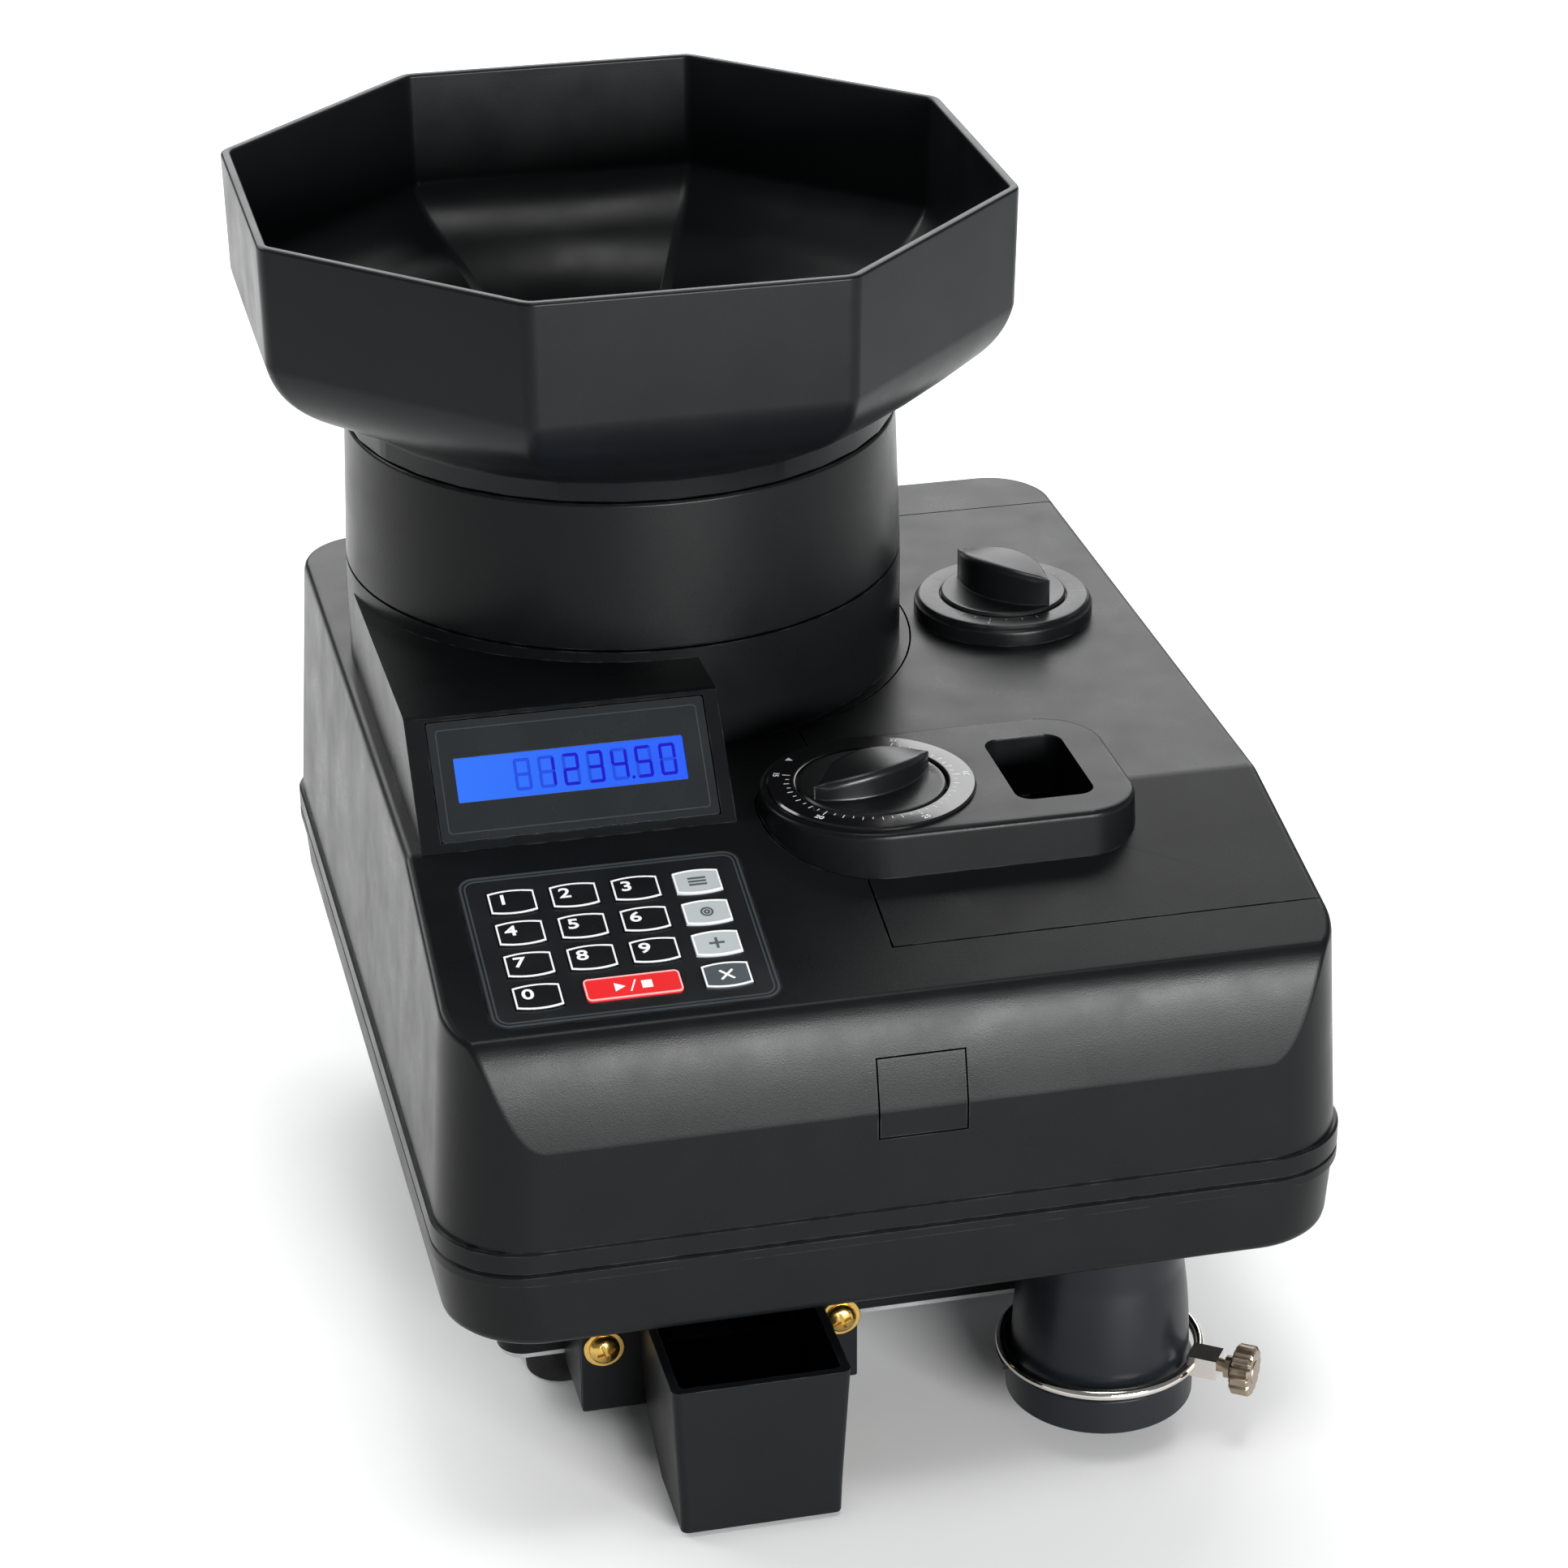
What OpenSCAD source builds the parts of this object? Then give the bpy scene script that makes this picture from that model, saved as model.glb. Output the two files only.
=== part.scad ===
// Coin counting and sorting machine: octagonal hopper on a drum, sloped keypad housing,
// hinged transport lid with two setting dials, reject box and coin spout below the front.
// X runs left to right, the front faces -Y, and Z = 0 is the table under the rubber feet.

/* [Housing] */
// Height of the flat top above the table
top_z = 179; // [177:1:181]
// Width of the flat top
top_w = 254.4; // [252:0.2:256]
// Width across the seam bands
band_w = 267.6; // [267:0.1:268]
// Middle of the housing, right of the origin
body_x = 8.8; // [8.6:0.1:9]
// Front face of the housing
front_y = -165; // [-166:0.5:-164]
// Back face of the housing
back_y = 161; // [159:0.5:162]
// Where the flat top bends into the sloped front
bend_y = -77; // [-78:0.5:-76]
// Tilt of the sloped front, in degrees
slope_deg = 13.85; // [13.5:0.05:14.2]
// Wall thickness of the housing and lid
wall = 3; // [2.5:0.25:3]

/* [Base] */
// Height of the seam between the housing and the base
seam_z = 91; // [90:0.5:92]
// Height of the base's underside
base_z = 66.5; // [66:0.5:68]
// Width of the base's underside
base_w = 262; // [260:0.5:264]
// Left side of the plinth under the base
plinth_x0 = -98.6; // [-100:0.2:-97]
// Right side of the plinth
plinth_x1 = 115.8; // [114:0.2:117]
// Front of the plinth
plinth_y0 = -91.5; // [-93:0.5:-90]
// Back of the plinth
plinth_y1 = 125; // [122:1:128]
// Height of the plinth's bottom edge
plinth_z = 16; // [15:0.5:17]

/* [Drum and hopper] */
// Drum axis, left of the origin
drum_x = -27; // [-28:0.5:-26]
// Drum axis, behind the origin
drum_y = 60; // [59:0.5:61]
// Radius of the lower drum
drum_r = 86.6; // [86:0.2:87]
// Height of the seam under the drum ring
ring_z0 = 211.8; // [210:0.2:213]
// Height of the seam under the hopper
ring_z1 = 258.1; // [257:0.1:259]
// Height of the hopper rim
rim_z = 332.7; // [330:0.1:335]
// Half the hopper's width across flats
hopper_half = 113.5; // [112:0.5:114]

/* [Lid] */
// Left edge of the lid in front of the drum
lid_x = 9.5; // [9:0.5:10]
// Front edge of the lid
lid_y0 = -136.5; // [-137:0.5:-136]
// Back edge of the lid
lid_y1 = 134.8; // [134:0.2:136]
// Radius of the lid's cut-out round the drum
lid_cut_r = 89.7; // [89.5:0.1:90]
// Height of the raised platform's top
platform_z = 185; // [184:0.5:186]

/* [Dials] */
// Centre of the coin diameter dial
dial_x = 19; // [18.5:0.5:19.5]
// Centre of the coin diameter dial, in front of the origin
dial_y = -75; // [-75.5:0.5:-74.5]
// Radius of the coin diameter dial
dial_r = 30.5; // [30:0.5:31]
// Centre of the coin thickness dial
thick_x = 94; // [93:0.5:95]
// Centre of the coin thickness dial, behind the origin
thick_y = 50; // [49:0.5:51]

/* [Coin path] */
// Height of the deck that the coins slide on
deck_z = 152; // [151.5:0.5:152.5]
// Radius of the coin disc
disc_r = 79; // [78:0.5:79]
// Fixed edge of the coin track
rail_x = 86; // [85.5:0.5:86.5]
// Coin width that the track is set to
coin_d = 19.5; // [19:0.1:20]
// Centre of the outlet and of the spout below it
outlet_x = 74; // [73:0.5:75]
// Centre of the outlet, in front of the origin
outlet_y = -136; // [-136.5:0.5:-135.5]
// Middle of the drop from the deck into the spout
drop_y = -134; // [-134.5:0.5:-133.5]
// Radius of the drop from the deck into the spout
drop_r = 17.8; // [17.5:0.1:18]

/* [Keypad] */
// Width of one key
key_w = 13.4; // [13:0.1:13.6]
// Height of one key
key_h = 10.2; // [10:0.1:10.4]
// Spacing of the key columns
key_dx = 17.7; // [17.5:0.1:18]
// Spacing of the key rows
key_dy = 13.3; // [13.2:0.1:13.5]

/* [Hidden] */
$fn = 64;
e = 0.01;
front_corner = 27;
back_corner = 20;
corner_fn = 32;
low_w = 265;
slope = tan(slope_deg);
slope_end_y = -153.5;
crease_z = 128.5;
seam_gap = 0.6;
lid_low_z = 161;
hinge_x = 137;
hinge_z = 160.5;
hinge_r = 3;
hinge_ys = [-70, 90];
bezel_deg = 48.83;
bezel_x0 = -113.4;
bezel_x1 = -21.6;
bezel_len = 40.25;
window_x = -66.6;
window_w = 81.4;
pad_x = -65.3;
pad_w = 81.8;
pad_s0 = 12.4;
pad_s1 = 76.2;
key_x0 = -98.4;
key_s0 = 20;
key_names = [["key_1", "key_2", "key_3", "key_memory"], ["key_4", "key_5", "key_6", "key_batch"],
  ["key_7", "key_8", "key_9", "key_add"], ["key_0", "", "", "key_clear"]];
key_gap = 0.35;
start_w = key_w * 2 + 0.5;
start_x = key_x0 + key_dx + 2;
latch_x0 = -1;
latch_x1 = 24;
latch_z0 = 120.5;
latch_z1 = 143.5;
shaft_r = 4;
gauge_x = rail_x - coin_d;
gauge_len = 58.5;
pinion_r = 4.2;
teeth = 12;
track_z = deck_z + 0.5;
disc_bore = 6;
pulley_z = 104;
pulley_h = 12;
motor_x = -62;
motor_y = 92;
disc_pulley_r = 30;
motor_pulley_r = 10;
belt_x = 70;
belt_y0 = -32;
belt_y1 = 44;
belt_z = 160.5;
star_x = 98;
star_y = -112;
box_x = -37;
box_rim_z = 50.6;
block_x0 = -79.3;
block_x1 = 4;
block_y = -117.6;
block_z = 12;
screw_z = 33.7;
screw_xs = [-72.6, -1.4];
foot_xs = [-78, 95];
foot_ys = [-75, 108];

// ---------- shared shapes ----------

// Rounded rectangle from (x0, y0) to (x1, y1)
module round_box(x0, y0, x1, y1, r) {
  translate([x0 + r, y0]) square([x1 - x0 - 2 * r, y1 - y0]);
  translate([x0, y0 + r]) square([x1 - x0, y1 - y0 - 2 * r]);
  for (x = [x0 + r, x1 - r], y = [y0 + r, y1 - r]) translate([x, y]) circle(r);
}

// Plan of the housing at width w, with larger corners at the front, drawn in by inset
module plan(w, inset) {
  x0 = body_x - w / 2 + inset;
  x1 = body_x + w / 2 - inset;
  fr = front_corner - inset;
  br = back_corner - inset;
  y0 = front_y + inset;
  y1 = back_y - inset;
  translate([x0 + fr, y0]) square([x1 - x0 - 2 * fr, fr]);
  translate([x0 + br, y1 - br]) square([x1 - x0 - 2 * br, br]);
  translate([x0, y0 + fr]) square([x1 - x0, y1 - br - y0 - fr]);
  for (x = [x0 + fr, x1 - fr]) translate([x, y0 + fr]) circle(fr);
  for (x = [x0 + br, x1 - br]) translate([x, y1 - br]) circle(br);
}

// Four corner posts of a plan, which a hull joins into a slab
module plan_posts(w, inset) {
  for (sx = [-1, 1]) {
    translate([body_x + sx * (w / 2 - front_corner), front_y + front_corner])
      cylinder(r = front_corner - inset, h = 0.1, $fn = corner_fn);
    translate([body_x + sx * (w / 2 - back_corner), back_y - back_corner])
      cylinder(r = back_corner - inset, h = 0.1, $fn = corner_fn);
  }
}

// Block between two heights whose side walls lean from width w0 to width w1
module leaning_block(z0, w0, z1, w1, inset) {
  hull() {
    translate([0, 0, z0]) plan_posts(w0, inset);
    translate([0, 0, z1 - 0.1]) plan_posts(w1, inset);
  }
}

// Height of the sloped front's plane at y
function slope_z(y) = top_z + (y - bend_y) * slope;
// Rounded shoulder between the slope and the front crease
shoulder = [-158, slope_z(-158)];
function bezier(a, b, c, t) = (1 - t) * (1 - t) * a + 2 * t * (1 - t) * b + t * t * c;
function shoulder_points(steps) = [for (i = [0:steps])
  bezier([slope_end_y, slope_z(slope_end_y)], shoulder, [front_y, crease_z], i / steps)];

// Side outline of the housing, drawn as (y, z)
module side_outline() {
  polygon(concat([[back_y + 5, seam_z - 10], [back_y + 5, top_z], [bend_y, top_z]],
    shoulder_points(10), [[front_y - 5, seam_z + 10], [front_y - 5, seam_z - 10]]));
}

// Housing block, drawn in by inset on every outer face
module housing_block(inset) {
  intersection() {
    leaning_block(seam_z, low_w, top_z - inset, top_w, inset);
    translate([body_x - 150, 0, 0]) rotate([90, 0, 90]) linear_extrude(300)
      offset(delta = -inset) side_outline();
  }
}

// Layer of the housing between two depths
module skin(outer, inner) {
  difference() {
    housing_block(outer);
    translate([0, 0, -e]) housing_block(inner);
  }
}

// Plan of the lid, drawn in by gap
module lid_plan(gap) {
  difference() {
    union() {
      translate([lid_x + gap, lid_y0 + gap]) square([200, lid_y1 - lid_y0 - 2 * gap]);
      translate([dial_x, dial_y]) circle(34 - gap);
    }
    translate([drum_x, drum_y]) circle(lid_cut_r + gap);
  }
}

// Puts its children on the sloped front: x across, y up the slope, z out of it
module on_slope() {
  translate([0, bend_y, top_z]) rotate([slope_deg, 0, 0]) children();
}

// Puts its children on the display bezel: x across, y up the bezel, z out of it
module on_bezel() {
  translate([0, bend_y - 0.5, top_z]) rotate([bezel_deg, 0, 0]) children();
}

// Side outline of the display hood, drawn as (y, z)
module hood_outline() {
  bezel_top = [bend_y - 0.5 + bezel_len * cos(bezel_deg), top_z + bezel_len * sin(bezel_deg)];
  polygon([[bend_y - 0.5, top_z], bezel_top, bezel_top + [2, 0.3], [52, top_z + 26.7],
    [52, top_z - 10], [bend_y + 8, top_z - 10]]);
}

module hood(inset) {
  translate([bezel_x0 + inset, 0, 0]) rotate([90, 0, 90])
    linear_extrude(bezel_x1 - bezel_x0 - 2 * inset) offset(delta = -inset) hood_outline();
}

module at_drum(z) {
  translate([drum_x, drum_y, z]) children();
}

// ---------- housing and base ----------

module top_housing() color("#1d2022") {
  difference() {
    union() {
      difference() {
        skin(0, wall);
        translate([0, 0, lid_low_z - seam_gap]) linear_extrude(60) lid_plan(0);
        at_drum(150) cylinder(r = drum_r - 1, h = 40);
        hood(wall);
      }
      difference() {
        translate([0, 0, seam_z]) linear_extrude(6.7) plan(band_w, 0);
        translate([0, 0, seam_z - 1]) linear_extrude(9) plan(band_w, 4);
      }
      difference() {
        union() {
          hood(0);
          at_drum(top_z - 10) cylinder(r = drum_r, h = ring_z0 - top_z + 10);
        }
        hood(wall);
        translate([0, 0, 100]) linear_extrude(top_z - wall - 100) square(400, center = true);
        at_drum(150) cylinder(r = drum_r - wall, h = 80);
        translate([lid_x - 40, 0, 100]) cube([200, 200, top_z - 100 - e]);
      }
    }
    // display opening with a ledge for the window
    on_bezel() {
      translate([window_x - window_w / 2 - 0.15, 2.7, -2.4]) cube([window_w + 0.3, 36.3, 5]);
      translate([window_x - window_w / 2 + 2, 5, -8]) cube([window_w - 4, 31.5, 10]);
    }
    // keypad opening with a ledge for the overlay
    on_slope() {
      translate([0, 0, -0.8]) linear_extrude(5)
        round_box(pad_x - pad_w / 2, -pad_s1, pad_x + pad_w / 2, -pad_s0, 5);
      translate([0, 0, -8]) linear_extrude(10)
        round_box(pad_x - pad_w / 2 + 3.5, -pad_s1 + 2.5, pad_x + pad_w / 2 - 3.5, -pad_s0 - 4, 3);
    }
    // hole for the latch button
    translate([latch_x0 - 0.5, front_y - 5, latch_z0 - 0.5])
      cube([latch_x1 - latch_x0 + 1, 20, latch_z1 - latch_z0 + 1]);
    // notches in the right wall for the hinge brackets
    for (y = hinge_ys) translate([hinge_x - 9, y - 16.5, deck_z - 1]) cube([20, 33, 12]);
  }
}

// Outline of the plinth, drawn in by inset
module plinth_plan(inset, r) {
  round_box(plinth_x0 + inset, plinth_y0 + inset, plinth_x1 - inset, plinth_y1 - inset, r);
}

// Well of the block in front of the plinth that the rejected coins pass through
module reject_well() {
  translate([block_x0 + 3, block_y + 3, block_z + 3])
    cube([block_x1 - block_x0 - 6, plinth_y0 - block_y - 6, 80]);
}

module base_shell() color("#1a1c1e") {
  difference() {
    union() {
      leaning_block(base_z, base_w, seam_z - 3, low_w, 0);
      translate([0, 0, seam_z - 4]) linear_extrude(3.6) plan(band_w, 0);
    }
    leaning_block(base_z + wall, base_w, seam_z + 1, low_w, 3.5);
    translate([0, 0, base_z - 1]) linear_extrude(8) plinth_plan(3, 6);
    reject_well();
    // hole for the coin spout
    translate([outlet_x, outlet_y, base_z - 1]) cylinder(r = 23.8, h = 8);
  }
  // posts that carry the deck
  for (p = [[-92, -118], [-92, 135], [112, -95], [112, 135]])
    translate([p[0], p[1], base_z + wall - 0.5]) cylinder(r = 5, h = deck_z - 6 - base_z - wall + 0.5);
}

module plinth() color("#1a1c1e") {
  difference() {
    union() {
      translate([0, 0, plinth_z]) linear_extrude(base_z - plinth_z) plinth_plan(0, 8);
      translate([block_x0, block_y, block_z])
        cube([block_x1 - block_x0, plinth_y0 - block_y + 0.5, base_z - block_z]);
    }
    // well of the plinth, open below where the bottom plate closes it
    translate([0, 0, plinth_z - 1]) linear_extrude(base_z) plinth_plan(3, 6);
    reject_well();
    // window to the reject box
    translate([box_x - 20, block_y - 1, 24]) cube([40, 8, 30]);
    for (x = screw_xs) translate([x, block_y - 1, screw_z]) rotate([-90, 0, 0]) cylinder(r = 2, h = 8);
    // opening for the power inlet and switch, and cooling slots on the left
    translate([30, plinth_y1 - 5, 26]) cube([66, 10, 28]);
    for (i = [0:8]) translate([plinth_x0 - 1, -60 + i * 12, 30]) cube([6, 5, 26]);
  }
}

module bottom_plate() color("silver") {
  difference() {
    union() {
      translate([0, 0, plinth_z - 2]) linear_extrude(2) plinth_plan(1, 7);
      // four posts for the main board and four for the power supply
      for (x = [-88, -6], y = [-78, 38]) translate([x, y, plinth_z - e]) cylinder(r = 3, h = 4);
      for (x = [20, 100], y = [28, 104]) translate([x, y, plinth_z - e]) cylinder(r = 3, h = 4);
    }
    for (i = [0:9]) translate([25 + i * 7, -60, plinth_z - 3]) cube([3, 50, 4]);
  }
}

module rubber_feet() color("#101010") {
  for (x = foot_xs, y = foot_ys) translate([x, y, 0]) cylinder(r1 = 10.5, r2 = 12, h = plinth_z - 2);
}

// ---------- display and keypad ----------

module display_window() color("#26292b") {
  on_bezel() translate([window_x - window_w / 2, 2.85, -2.4]) cube([window_w, 36, 2]);
}

module lcd_module() color("#3d57ff") {
  on_bezel() {
    translate([-104, 9.5, -9]) cube([71, 22, 6.4]);
    // its circuit board, with two chips behind
    translate([-106, 7, -10.6]) cube([78, 27, 1.6 + e]);
    translate([-60, 14, -13.6]) cube([14, 12, 3 + e]);
    translate([-92, 16, -13.6]) cube([20, 6, 3 + e]);
  }
}

module key_shape(w, grow) {
  round_box(-grow, -key_h - grow, w + grow, grow, 2 + grow / 2);
}

// Left edge and top edge of the key in a row and column, measured down the slope
module at_key(row, column) {
  on_slope() translate([key_x0 + column * key_dx, -key_s0 - row * key_dy, 0]) children();
}

module key_cap(w) {
  translate([0, 0, -1.4]) linear_extrude(2.3) key_shape(w, 0);
  translate([0, 0, -2]) linear_extrude(0.8) key_shape(w, 0.9);
  translate([w / 2, -key_h / 2, -3.2]) cylinder(r = 1.5, h = 1.4);
}

module named_key(name) {
  for (row = [0:3], column = [0:3]) if (key_names[row][column] == name) at_key(row, column) key_cap(key_w);
}

module key_start() color("#e8202a") {
  on_slope() translate([start_x, -key_s0 - 3 * key_dy, 0]) key_cap(start_w);
}

module keypad_overlay() color("#16181a") {
  difference() {
    on_slope() translate([0, 0, -0.8]) linear_extrude(1.3)
      round_box(pad_x - pad_w / 2 + 0.1, -pad_s1 + 0.1, pad_x + pad_w / 2 - 0.1, -pad_s0 - 0.1, 4.9);
    for (row = [0:3], column = [0:3]) if (key_names[row][column] != "")
      at_key(row, column) translate([0, 0, -2]) linear_extrude(5) key_shape(key_w, key_gap);
    on_slope() translate([start_x, -key_s0 - 3 * key_dy, -2]) linear_extrude(5)
      key_shape(start_w, key_gap);
  }
}

module keypad_board() color("#1c5b33") {
  on_slope() translate([pad_x - 37, -pad_s1 + 3, -6]) cube([74, pad_s1 - pad_s0 - 8, 1.6]);
  for (row = [0:3], column = [0:3]) if (key_names[row][column] != "")
    at_key(row, column) translate([key_w / 2, -key_h / 2, -4.4 - e]) cylinder(r = 2.5, h = 0.4);
  on_slope() translate([start_x + start_w / 2, -key_s0 - 3 * key_dy - key_h / 2, -4.4 - e])
    cylinder(r = 2.5, h = 0.4);
}

// ---------- lid, hinge and latch ----------

module platform_plan(inset) {
  translate([dial_x, dial_y]) circle(33 - inset);
  translate([dial_x, dial_y - 33 + inset]) square([56, 66 - 2 * inset]);
  round_box(dial_x + 20, dial_y - 33 + inset, 93.5 - inset, dial_y + 33 - inset, 18 - inset);
}

module right_lid() color("#1d2022") {
  difference() {
    union() {
      intersection() {
        skin(0, wall);
        translate([0, 0, lid_low_z]) linear_extrude(60) lid_plan(seam_gap);
      }
      difference() {
        translate([0, 0, top_z - 16]) linear_extrude(platform_z - top_z + 16) platform_plan(0);
        translate([0, 0, top_z - 17]) linear_extrude(platform_z - top_z + 17 - wall) platform_plan(wall);
      }
      // well of the window above the coin track
      translate([0, 0, 166]) linear_extrude(platform_z - 166) round_box(55.5, -98, 83.5, -52, 7);
      translate([dial_x, dial_y, 172]) cylinder(r = 8, h = platform_z - 172);
      // rim under the thickness dial
      translate([thick_x, thick_y, 170]) cylinder(r = 8, h = top_z - 170 - e);
      translate([thick_x, thick_y, top_z - 2]) cylinder(r = 28.5, h = 7.5);
      // striker that the latch holds
      translate([13, -129, 153.5]) cube([10, 2, 11.5]);
      translate([13, -129, 153.5]) cube([10, 2.5, 2]);
      // knuckles round the hinge pins
      for (y = hinge_ys) {
        translate([hinge_x, y - 10, hinge_z]) rotate([-90, 0, 0]) cylinder(r = hinge_r, h = 20);
        translate([hinge_x - 3, y - 10, hinge_z]) cube([3.5, 20, 6]);
      }
    }
    translate([0, 0, 165]) linear_extrude(30) round_box(58, -95.5, 81, -54.5, 5);
    translate([dial_x, dial_y, 170]) cylinder(r = shaft_r + 0.35, h = 30);
    translate([dial_x, dial_y, platform_z - 1]) cylinder(r = 22.3, h = 5);
    translate([thick_x, thick_y, 165]) cylinder(r = shaft_r + 0.35, h = 30);
    for (y = hinge_ys) {
      translate([hinge_x, y - 11, hinge_z]) rotate([-90, 0, 0]) cylinder(r = 1.55, h = 22);
      // room for the brackets and the ends of the pin
      for (s = [-16.5, 10.2]) translate([hinge_x, y + s, hinge_z]) rotate([-90, 0, 0])
        cylinder(r = 3.2, h = 6.3);
    }
  }
}

module lid_hinge_pins() color("silver") {
  for (y = hinge_ys)
    translate([hinge_x, y - 16, hinge_z]) rotate([-90, 0, 0]) cylinder(r = 1.5, h = 32);
}

module hinge_brackets() color("dimgray") {
  for (y = hinge_ys) {
    for (side = [-1, 1]) difference() {
      union() {
        translate([hinge_x, y + side * 13 - 2.5, hinge_z]) rotate([-90, 0, 0])
          cylinder(r = 2.6, h = 5);
        translate([hinge_x - 7, y + side * 13 - 2.5, deck_z]) cube([8, 5, 7]);
      }
      translate([hinge_x, y + side * 13 - 4, hinge_z]) rotate([-90, 0, 0]) cylinder(r = 1.5, h = 8);
    }
    translate([hinge_x - 16, y - 15.5, deck_z]) cube([11.5, 31, 2]);
  }
}

module latch_button() color("#1f2224") {
  intersection() {
    skin(0, 4);
    translate([latch_x0, front_y - 2, latch_z0])
      cube([latch_x1 - latch_x0, 20, latch_z1 - latch_z0]);
  }
  // arm that carries the hook back to the striker
  translate([4, -160, 126]) cube([4, 41, 12]);
  translate([4, -126, 126]) cube([4, 7, 32.5]);
  translate([4, -126, 156.3]) cube([17, 7, 2.2]);
}

// ---------- drum and hopper ----------

module drum_ring() color("#1d2022") {
  at_drum(0) difference() {
    union() {
      translate([0, 0, ring_z0 + 0.3]) cylinder(r1 = 86.5, r2 = 84.7, h = ring_z1 - ring_z0 - 0.3);
      translate([0, 0, ring_z0 - 5]) cylinder(r = drum_r - wall - 0.1, h = 6);
    }
    translate([0, 0, ring_z0 - 6]) cylinder(r = 81.4, h = 60);
  }
}

module octagon(half) {
  rotate(22.5) circle(half / cos(22.5), $fn = 8);
}

module hopper() color("#1b1d20") {
  at_drum(0) {
    difference() {
      hull() {
        translate([0, 0, 267]) cylinder(r = 85, h = 0.1, $fn = 48);
        translate([0, 0, 285.8]) linear_extrude(0.1) octagon(112.6);
        translate([0, 0, rim_z - 0.1]) linear_extrude(0.1) octagon(hopper_half);
      }
      hull() {
        translate([0, 0, 266.9]) cylinder(r = 76, h = 0.1, $fn = 48);
        translate([0, 0, 287.5]) linear_extrude(0.1) octagon(109.6);
        translate([0, 0, rim_z + 1]) linear_extrude(0.1) octagon(hopper_half - 3);
      }
    }
    // neck that rests on the drum ring and drops inside it
    difference() {
      union() {
        translate([0, 0, ring_z1 + 0.3]) cylinder(r = 84.7, h = 267.05 - ring_z1 - 0.3);
        translate([0, 0, ring_z1 - 10]) cylinder(r = 80.8, h = 11);
      }
      translate([0, 0, ring_z1 - 11]) cylinder(r1 = 74, r2 = 76, h = 268 - ring_z1 + 11);
    }
  }
}

// ---------- dials ----------

module diameter_scale() color("#0c0d0e") {
  translate([dial_x, dial_y, platform_z]) difference() {
    cylinder(r = dial_r, h = 1.2);
    translate([0, 0, -1]) cylinder(r = 22.3, h = 4);
  }
}

// Leaf-shaped grip with an arched top, along X
module grip(length, width, height) {
  r = (length * length / 4 + width * width / 4) / width;
  intersection() {
    intersection_for(s = [-1, 1]) translate([0, s * (r - width / 2), 0]) cylinder(r = r, h = height);
    translate([0, width, height - 60]) rotate([90, 0, 0]) cylinder(r = 60, h = 2 * width, $fn = 96);
  }
}

module knob(z, grip_h, turn) {
  translate([0, 0, z]) {
    cylinder(r = 21.8, h = 1.6);
    rotate(turn) translate([0, 0, 1]) grip(41, 17, grip_h);
  }
}

module pinion() {
  for (i = [0:teeth - 1]) rotate(i * 360 / teeth)
    translate([0, -0.42, 0]) cube([pinion_r + 0.5, 0.84, 6]);
}

module diameter_knob() color("#222628") {
  translate([dial_x, dial_y, 0]) {
    knob(platform_z - 0.6, 8, 22);
    translate([0, 0, 158]) cylinder(r = shaft_r, h = platform_z - 158);
    translate([0, 0, 164]) cylinder(r = 6.5, h = 2);
    translate([0, 0, 154.2]) {
      cylinder(r = pinion_r - 0.9, h = 6);
      pinion();
    }
  }
}

module width_gauge() color("#8f979c") {
  rack_y = dial_y + pinion_r + 0.35;
  pitch = 2 * PI * pinion_r / teeth;
  translate([gauge_x - gauge_len, dial_y - 24, track_z]) cube([gauge_len, 48, 1.3]);
  translate([gauge_x - gauge_len, rack_y + 1, track_z + 1.3 - e]) cube([gauge_len, 5, 5]);
  for (i = [-5:9]) translate([dial_x + (i + 0.5) * pitch - 0.35, rack_y + 0.15, track_z + 1.3 - e])
    cube([0.7, 1, 5]);
}

module thickness_scale() color("#2a2d2f") {
  translate([thick_x, thick_y, top_z + 5.5]) difference() {
    cylinder(r = 27, h = 1);
    translate([0, 0, -1]) cylinder(r = 20.3, h = 4);
  }
}

module thickness_knob() color("#1f2224") {
  translate([thick_x, thick_y, 0]) {
    translate([0, 0, top_z + 5.8]) cylinder(r = 19.9, h = 1.6);
    rotate(-56) translate([0, 0, top_z + 6.8]) grip(38, 16, 12);
    translate([0, 0, 153.2]) cylinder(r = shaft_r, h = top_z + 6 - 153.2);
    translate([0, 0, 153.2]) cylinder(r = 6, h = 2);
    translate([0, 0, 166.5]) cylinder(r = 6, h = 2.5);
  }
}

module thickness_gate() color("#8f979c") {
  difference() {
    union() {
      translate([thick_x, thick_y, 157.2]) cylinder(r = 9, h = 5.5);
      translate([64.5, 58, 157.2]) cube([31.5, 3, 5.5]);
      translate([64.5, 58, track_z + 2.2]) cube([21, 3, 4]);
    }
    translate([thick_x, thick_y, 150]) cylinder(r = shaft_r + 0.35, h = 20);
  }
}

// ---------- coin path ----------

module deck_plate() color("#b7bcc0") {
  difference() {
    translate([0, 0, deck_z - 6]) linear_extrude(6)
      round_box(body_x - 122, -153.5, body_x + 122, 154, 24);
    at_drum(deck_z - 7) cylinder(r = disc_r + 1, h = 8);
    // end of the track, open to the front, where the coins drop into the spout
    translate([outlet_x, drop_y, deck_z - 7]) cylinder(r = drop_r, h = 8);
    translate([outlet_x - drop_r, drop_y - 30, deck_z - 7]) cube([2 * drop_r, 30, 8]);
    translate([48, -45, deck_z - 7]) cube([12, 30, 8]);
    translate([-3, -170, deck_z - 7]) cube([30, 56, 8]);
    translate([star_x, star_y, deck_z - 7]) cylinder(r = 3.35, h = 8);
  }
  // fixed edge of the coin track
  difference() {
    translate([rail_x, -118, deck_z - e]) cube([4, 158, 5]);
    translate([star_x, star_y, deck_z - 1]) cylinder(r = 16.5, h = 8);
  }
}

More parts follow.
